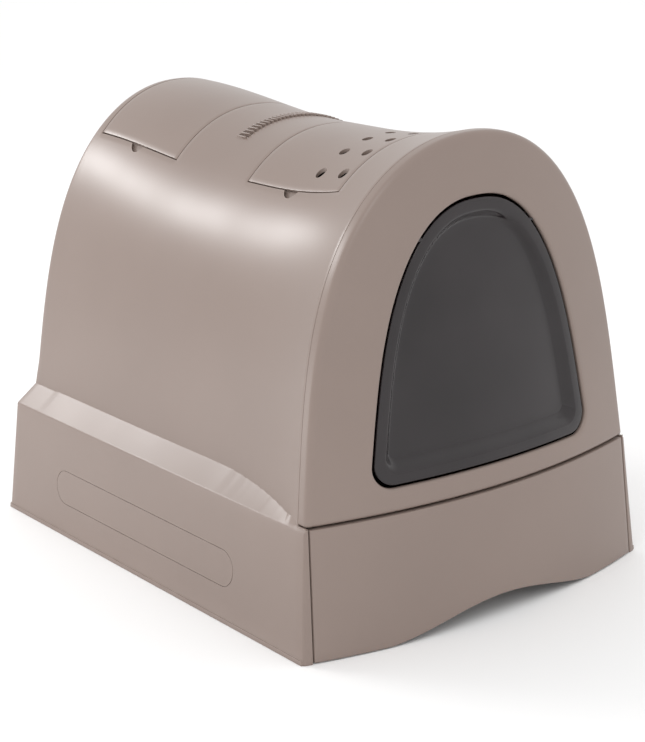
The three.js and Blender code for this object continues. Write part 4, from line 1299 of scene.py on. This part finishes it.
# %% Node helpers
def paint(red, green, blue):
    """A colour as seen on a screen, 0 to 255, as the linear values that a shader wants."""
    linear = [(v / 255 / 12.92) if v <= 10 else ((v / 255 + 0.055) / 1.055) ** 2.4
              for v in (red, green, blue)]
    return (*linear, 1.0)


def node(tree, kind, place, **settings):
    """Add a node. Settings that name an input give its value or the socket it is linked from."""
    made = tree.nodes.new(kind)
    made.location = (place[0] * 200, place[1] * 200)
    for name, value in settings.items():
        socket = name.replace("_", " ").title()
        target = made.inputs.get(socket)
        if target is None:
            setattr(made, name, value)
        elif isinstance(value, bpy.types.NodeSocket):
            tree.links.new(value, target)
        else:
            target.default_value = value
    return made


def noise(tree, place, where, scale, detail, **more):
    """The value of a noise texture, 0 to 1."""
    return node(tree, "ShaderNodeTexNoise", place, vector=where, scale=scale, detail=detail,
                **more).outputs["Fac"]


def object_place(tree, place):
    return node(tree, "ShaderNodeTexCoord", place).outputs["Object"]


def from_to(tree, place, value, low, high):
    """A value as a share of the way from low to high, held between 0 and 1."""
    return node(tree, "ShaderNodeMapRange", place, value=value, from_min=low,
                from_max=high).outputs["Result"]


def ramp(tree, place, value, *stops):
    """A colour that changes between two stops, each a place on the way and a colour."""
    made = node(tree, "ShaderNodeValToRGB", place, fac=value)
    for element, (position, colour) in zip(made.color_ramp.elements, stops):
        element.position, element.color = position, colour
    return made.outputs["Color"]


def cover(tree, place, mask, colour, tint):
    """A tint laid over a colour where a mask is."""
    made = node(tree, "ShaderNodeMix", place, data_type="RGBA")
    tree.links.new(mask, made.inputs[0])
    tree.links.new(colour, made.inputs[6])
    made.inputs[7].default_value = tint
    return made.outputs[2]


def maths(tree, operation, place, *values, clamp=False):
    made = tree.nodes.new("ShaderNodeMath")
    made.operation = operation
    made.use_clamp = clamp
    made.location = (place[0] * 200, place[1] * 200)
    for socket, value in zip(made.inputs, values):
        if isinstance(value, bpy.types.NodeSocket):
            tree.links.new(value, socket)
        else:
            socket.default_value = value
    return made.outputs[0]


def new_group(name, inputs, outputs):
    """An empty node group with float inputs (name: value) and float outputs."""
    group = bpy.data.node_groups.new(name, "ShaderNodeTree")
    for label, value in inputs.items():
        socket = group.interface.new_socket(label, in_out="INPUT", socket_type="NodeSocketFloat")
        socket.default_value = value
    for label in outputs:
        group.interface.new_socket(label, in_out="OUTPUT", socket_type="NodeSocketFloat")
    entry = group.nodes.new("NodeGroupInput")
    result = group.nodes.new("NodeGroupOutput")
    entry.location, result.location = (-800, 0), (1000, 0)
    return group, entry.outputs, result.inputs


def use_group(tree, group, place, **values):
    made = tree.nodes.new("ShaderNodeGroup")
    made.node_tree = group
    made.location = (place[0] * 200, place[1] * 200)
    for name, value in values.items():
        made.inputs[name].default_value = value
    return made.outputs


def new_finish(name, **constants):
    """A material with constants on its shader. Returns the material, its tree and the shader."""
    material = bpy.data.materials.new(name)
    material.use_nodes = True
    shader = material.node_tree.nodes["Principled BSDF"]
    for label, value in constants.items():
        shader.inputs[label.replace("_", " ")].default_value = value
    return material, material.node_tree, shader


def connect(tree, shader, colour, roughness, height, distance):
    """Link a colour, a roughness and a bump to a shader."""
    tree.links.new(colour, shader.inputs["Base Color"])
    tree.links.new(roughness, shader.inputs["Roughness"])
    bump = node(tree, "ShaderNodeBump", (-1, -2), height=height, distance=distance)
    tree.links.new(bump.outputs["Normal"], shader.inputs["Normal"])


# %% [markdown]
# The grain is two noises: a very fine one, the texture of the mould's surface, and a broad soft
# one, because a flat moulded wall is never quite flat and its reflections always swim a little.
# Both are given as a height in metres, so they can go to a Bump node whose distance is one metre.

# %% Grain and gloss
grain, taken, given = new_group("moulded grain", {"Fine": 0.012, "Broad": 0.05},
                                ["Height", "Gloss"])
where = object_place(grain, (-4, 0))
fine = noise(grain, (-2, 1), where, 1400.0, 2.0)
broad = noise(grain, (-2, -1), where, 16.0, 1.0)
patch = noise(grain, (-2, -2), where, 9.0, 2.0)
fine_mm = maths(grain, "MULTIPLY", (0, 1), fine, taken["Fine"])
broad_mm = maths(grain, "MULTIPLY", (0, 0), broad, taken["Broad"])
both = maths(grain, "ADD", (1, 0), fine_mm, broad_mm)
grain.links.new(maths(grain, "MULTIPLY", (2, 0), both, MM), given["Height"])
grain.links.new(maths(grain, "SUBTRACT", (1, -2), patch, 0.5), given["Gloss"])
print("grain group:", len(grain.nodes), "nodes")

# %% [markdown]
# A Bevel node gives the normal that a point would have if its edge were rounder. Where that differs
# from the true normal, the point is near an edge. A noise breaks the mask up, because hands don't
# rub an edge evenly. On the plastic the mask is wear. On the smoked flap it lays a pale painted
# highlight along its rim and bends.

# %% Rubbed edges and painted highlights
edges, taken, given = new_group("rubbed edges", {"Amount": 1.0}, ["Mask"])
rounder = node(edges, "ShaderNodeBevel", (-3, 1), radius=1.2 * MM)
true = node(edges, "ShaderNodeNewGeometry", (-3, 0)).outputs["Normal"]
match = node(edges, "ShaderNodeVectorMath", (-2, 0), operation="DOT_PRODUCT")
edges.links.new(rounder.outputs["Normal"], match.inputs[0])
edges.links.new(true, match.inputs[1])
turned = maths(edges, "SUBTRACT", (-1, 0), 1.0, match.outputs["Value"])
clear = maths(edges, "SUBTRACT", (-1, 1), turned, 0.04)
near = maths(edges, "MULTIPLY", (0, 0), clear, 9.0, clamp=True)
broken = noise(edges, (-2, -1), object_place(edges, (-4, -1)), 60.0, 6.0)
some = maths(edges, "MULTIPLY", (1, 0), near, from_to(edges, (-1, -1), broken, 0.35, 0.65))
edges.links.new(maths(edges, "MULTIPLY", (2, 0), some, taken["Amount"]), given["Mask"])
print("edge group:", len(edges.nodes), "nodes")

# %% [markdown]
# Dust lies on what faces up and thins out as the surface tips. A cloudy noise makes patches of it
# and a fine one makes specks.

# %% Dust
dust, taken, given = new_group("settled dust", {"Amount": 1.0}, ["Mask"])
facing = node(dust, "ShaderNodeNewGeometry", (-4, 1)).outputs["Normal"]
upward = node(dust, "ShaderNodeSeparateXYZ", (-3, 1), vector=facing).outputs["Z"]
flat = from_to(dust, (-2, 1), upward, 0.55, 1.0)
where = object_place(dust, (-4, -1))
cloud = noise(dust, (-2, 0), where, 14.0, 8.0)
speck = noise(dust, (-2, -1), where, 700.0, 2.0)
specks = maths(dust, "GREATER_THAN", (-1, -1), speck, 0.73)
lying = maths(dust, "MULTIPLY_ADD", (0, 0), cloud, 0.5, specks)
thin = maths(dust, "MULTIPLY", (1, 0), lying, flat)
dust.links.new(maths(dust, "MULTIPLY", (2, 0), thin, taken["Amount"], clamp=True), given["Mask"])
print("dust group:", len(dust.nodes), "nodes")

# %% [markdown]
# The two plastics are one compound. Outside it comes from a polished mould and is half glossy.
# Inside, on the tray and the bins, the mould is left duller, so the same recipe is used with a
# coarser grain and less gloss.


# %% Plastic
SHELL_COLOUR = paint(137, 121, 113)
RUBBED_COLOUR = paint(176, 162, 152)
DUST_COLOUR = paint(196, 190, 184)


def moulded_plastic(name, roughness, fine, broad, rub, dusty, shade=1.0):
    """The shell's compound. rub and dusty set wear and dust; shade darkens it as painted shade."""
    material, tree, shader = new_finish(name, IOR=1.5)
    surface = use_group(tree, grain, (-4, -2), Fine=fine, Broad=broad)
    wear_and_highlight = use_group(tree, edges, (-4, 0), Amount=rub)
    dirty = use_group(tree, dust, (-4, 1), Amount=dusty)
    cloudy = noise(tree, (-6, 2), object_place(tree, (-7, 2)), 7.0, 4.0)
    darker, lighter = ((*[v * depth * shade for v in SHELL_COLOUR[:3]], 1.0)
                       for depth in (0.965, 1.03))
    body = ramp(tree, (-5, 2), cloudy, (0.3, darker), (0.7, lighter))
    rubbed = cover(tree, (-2, 1), wear_and_highlight["Mask"], body, RUBBED_COLOUR)
    dusted = cover(tree, (-1, 2), dirty["Mask"], rubbed, DUST_COLOUR)
    gloss = maths(tree, "MULTIPLY_ADD", (-2, -1), surface["Gloss"], 0.12, roughness)
    dulled = maths(tree, "MULTIPLY_ADD", (-1, -1), dirty["Mask"], 0.35, gloss)
    connect(tree, shader, dusted, dulled, surface["Height"], 1.0)
    return material


outer_plastic = moulded_plastic("half gloss shell plastic", 0.32, 0.0025, 0.05, 0.4, 0.05)
# The inner copy is painted 3 % darker (shade 0.97): painted shade for the pieces inside the box.
inner_plastic = moulded_plastic("dull tray plastic", 0.42, 0.01, 0.06, 0.35, 0.05, 0.97)

# %% [markdown]
# The flap is clear sheet with smoke-grey dye in it. Seen from the front it is nearly black, because
# the light has to pass the sheet twice and there is little light inside. It takes its look from the
# reflections on its face, and from fine hairlines that cats and cleaning leave. The hairlines are
# noise that is squeezed a hundred times across their direction.


# %% Smoked sheet
smoked, tree, shader = new_finish("smoked clear sheet", IOR=1.49, Transmission_Weight=0.35)
where = object_place(tree, (-8, 0))
drawn_out = node(tree, "ShaderNodeMapping", (-7, 0), vector=where, rotation=(0, 0.5, 0),
                 scale=(14.0, 14.0, 1400.0)).outputs["Vector"]
hairlines = from_to(tree, (-5, 0), noise(tree, (-6, 0), drawn_out, 1.0, 3.0), 0.62, 0.74)
smear = noise(tree, (-6, -1), where, 11.0, 6.0)
tone = ramp(tree, (-4, 1), smear, (0.3, paint(36, 29, 31)), (0.7, paint(50, 43, 45)))
# Painted highlight: on the flap the edge mask lays a pale colour along the rim and the bends of the
# dish, where light would catch them.
wear_and_highlight = use_group(tree, edges, (-6, 1), Amount=0.2)
painted_edge_highlight = cover(tree, (-2, 1), wear_and_highlight["Mask"], tone, paint(120, 114, 114))
film = maths(tree, "MULTIPLY_ADD", (-3, -1), smear, 0.12, 0.05)
scratched = maths(tree, "MULTIPLY_ADD", (-2, -1), hairlines, 0.06, film)
swell = maths(tree, "MULTIPLY", (-3, -2), noise(tree, (-4, -2), where, 20.0, 0.0), 0.08 * MM)
connect(tree, shader, painted_edge_highlight, scratched, swell, 1.0)
print(smoked.name, "has", len(tree.nodes), "nodes")

# %% [markdown]
# The felt is matt and nearly black, with fibres that stand up and catch light at a grazing angle,
# which is what sheen does. Its bump is a crinkled noise at the size of the fibres.

# %% Charcoal felt
felt, tree, shader = new_finish("charcoal felt", Sheen_Weight=0.35, Sheen_Roughness=0.6,
                                Specular_IOR_Level=0.2)
where = object_place(tree, (-6, 0))
fibre = noise(tree, (-5, 0), where, 900.0, 6.0, distortion=2.5)
tuft = noise(tree, (-5, -1), where, 120.0, 4.0)
mixed = maths(tree, "MULTIPLY_ADD", (-4, 0), tuft, 0.6, fibre)
tone = ramp(tree, (-3, 0), mixed, (0.45, paint(24, 24, 26)), (1.0, paint(74, 73, 76)))
matt = maths(tree, "MULTIPLY_ADD", (-3, -1), tuft, 0.2, 0.78)
connect(tree, shader, tone, matt, mixed, 0.4 * MM)
print(felt.name, "has", len(tree.nodes), "nodes")

# %% [markdown]
# The hinge pins are drawn steel wire, so their fine lines run along the pin. The pins are carried
# over from the mechanical model as they are, because a plain turned pin is already right.

# %% Drawn steel
steel, tree, shader = new_finish("drawn steel", Metallic=1.0)
drawn_out = node(tree, "ShaderNodeMapping", (-6, 0), vector=object_place(tree, (-7, 0)),
                 scale=(4000.0, 30.0, 4000.0)).outputs["Vector"]
line = noise(tree, (-5, 0), drawn_out, 1.0, 4.0)
tone = ramp(tree, (-3, 1), line, (0.0, paint(150, 150, 152)), (1.0, paint(214, 214, 216)))
brushed = maths(tree, "MULTIPLY_ADD", (-3, 0), line, 0.15, 0.29)
connect(tree, shader, tone, brushed, line, 0.02 * MM)
print(steel.name, "has", len(tree.nodes), "nodes")

# %% Hand out the finishes
finishes = {
    outer_plastic: [hood, scoop_lid, filter_lid, fascia, drawer_panel, scoop],
    inner_plastic: [tray, floor_pan, scoop_bin, filter_bin],
    smoked: [flap],
    felt: [pad],
    steel: [frame["nodes"]["scoop_lid_pin"], frame["nodes"]["filter_lid_pin"]],
}
for finish, dressed in finishes.items():
    for piece in dressed:
        piece.data.materials.clear()
        piece.data.materials.append(finish)
    print(finish.name, "on", ", ".join(piece.name for piece in dressed))

# %% [markdown]
# ## Studio
#
# A plain pale floor and a white surround give soft light from all round, as in a light tent. A
# large soft light over the front left shapes the arch. A long strip high behind it lays the bright
# line along the roof's shoulder, and that line shows better than anything how fair the curve is.


# %% Floor, surround and lights
bpy.ops.mesh.primitive_plane_add(size=30)
floor = bpy.context.object
floor.name = "studio_floor"
floor_finish, _, _ = new_finish("studio floor", Base_Color=(0.97, 0.97, 0.97, 1), Roughness=0.9)
floor.data.materials.append(floor_finish)

world = bpy.data.worlds.new("light tent")
world.use_nodes = True
world.node_tree.nodes["Background"].inputs["Color"].default_value = (1, 1, 1, 1)
world.node_tree.nodes["Background"].inputs["Strength"].default_value = 1.03
bpy.context.scene.world = world
bpy.context.scene.view_settings.view_transform = "Standard"  # the surround stays pure white


def soft_light(name, place, aim, size, watts):
    bpy.ops.object.light_add(type="AREA", location=place)
    lamp = bpy.context.object
    lamp.name = name
    lamp.data.shape = "RECTANGLE"
    lamp.data.size, lamp.data.size_y = size
    lamp.data.energy = watts
    lamp.visible_camera = False
    lamp.rotation_euler = (Vector(aim) - Vector(place)).to_track_quat("-Z", "Y").to_euler()
    return lamp


soft_light("front_softbox", (-1.5, -1.5, 2.6), (0, 0, 0.2), (1.4, 1.4), 10)
soft_light("shoulder_strip", (-1.02, 1.62, 1.1), (-0.11, 0, 0.35), (0.8, 0.26), 11)
soft_light("side_card", (-0.75, 0.4, 0.14), (-0.19, -0.2, 0.25), (0.12, 0.26), 0.4)

# %% Camera
bpy.ops.object.camera_add()
camera = bpy.context.object
camera.name = "studio_camera"
azimuth, elevation, roll = (math.radians(v) for v in (-37.36, 15.445, -1.233))
back = Vector((math.sin(azimuth) * math.cos(elevation), -math.cos(azimuth) * math.cos(elevation),
               math.sin(elevation)))
right = Vector((math.cos(azimuth), math.sin(azimuth), 0))
up = back.cross(right)
level = Matrix((right * math.cos(roll) + up * math.sin(roll),
                up * math.cos(roll) - right * math.sin(roll), back)).transposed().to_4x4()
camera.matrix_world = Matrix.Translation(Vector((0, 0, 0.2)) + back * 1.7986) @ level
camera.data.lens = 90.88
camera.data.sensor_width = 36
camera.data.shift_x = 0.0109
camera.data.shift_y = -0.0474
bpy.context.scene.camera = camera
print("camera at", [round(v, 3) for v in camera.matrix_world.translation])
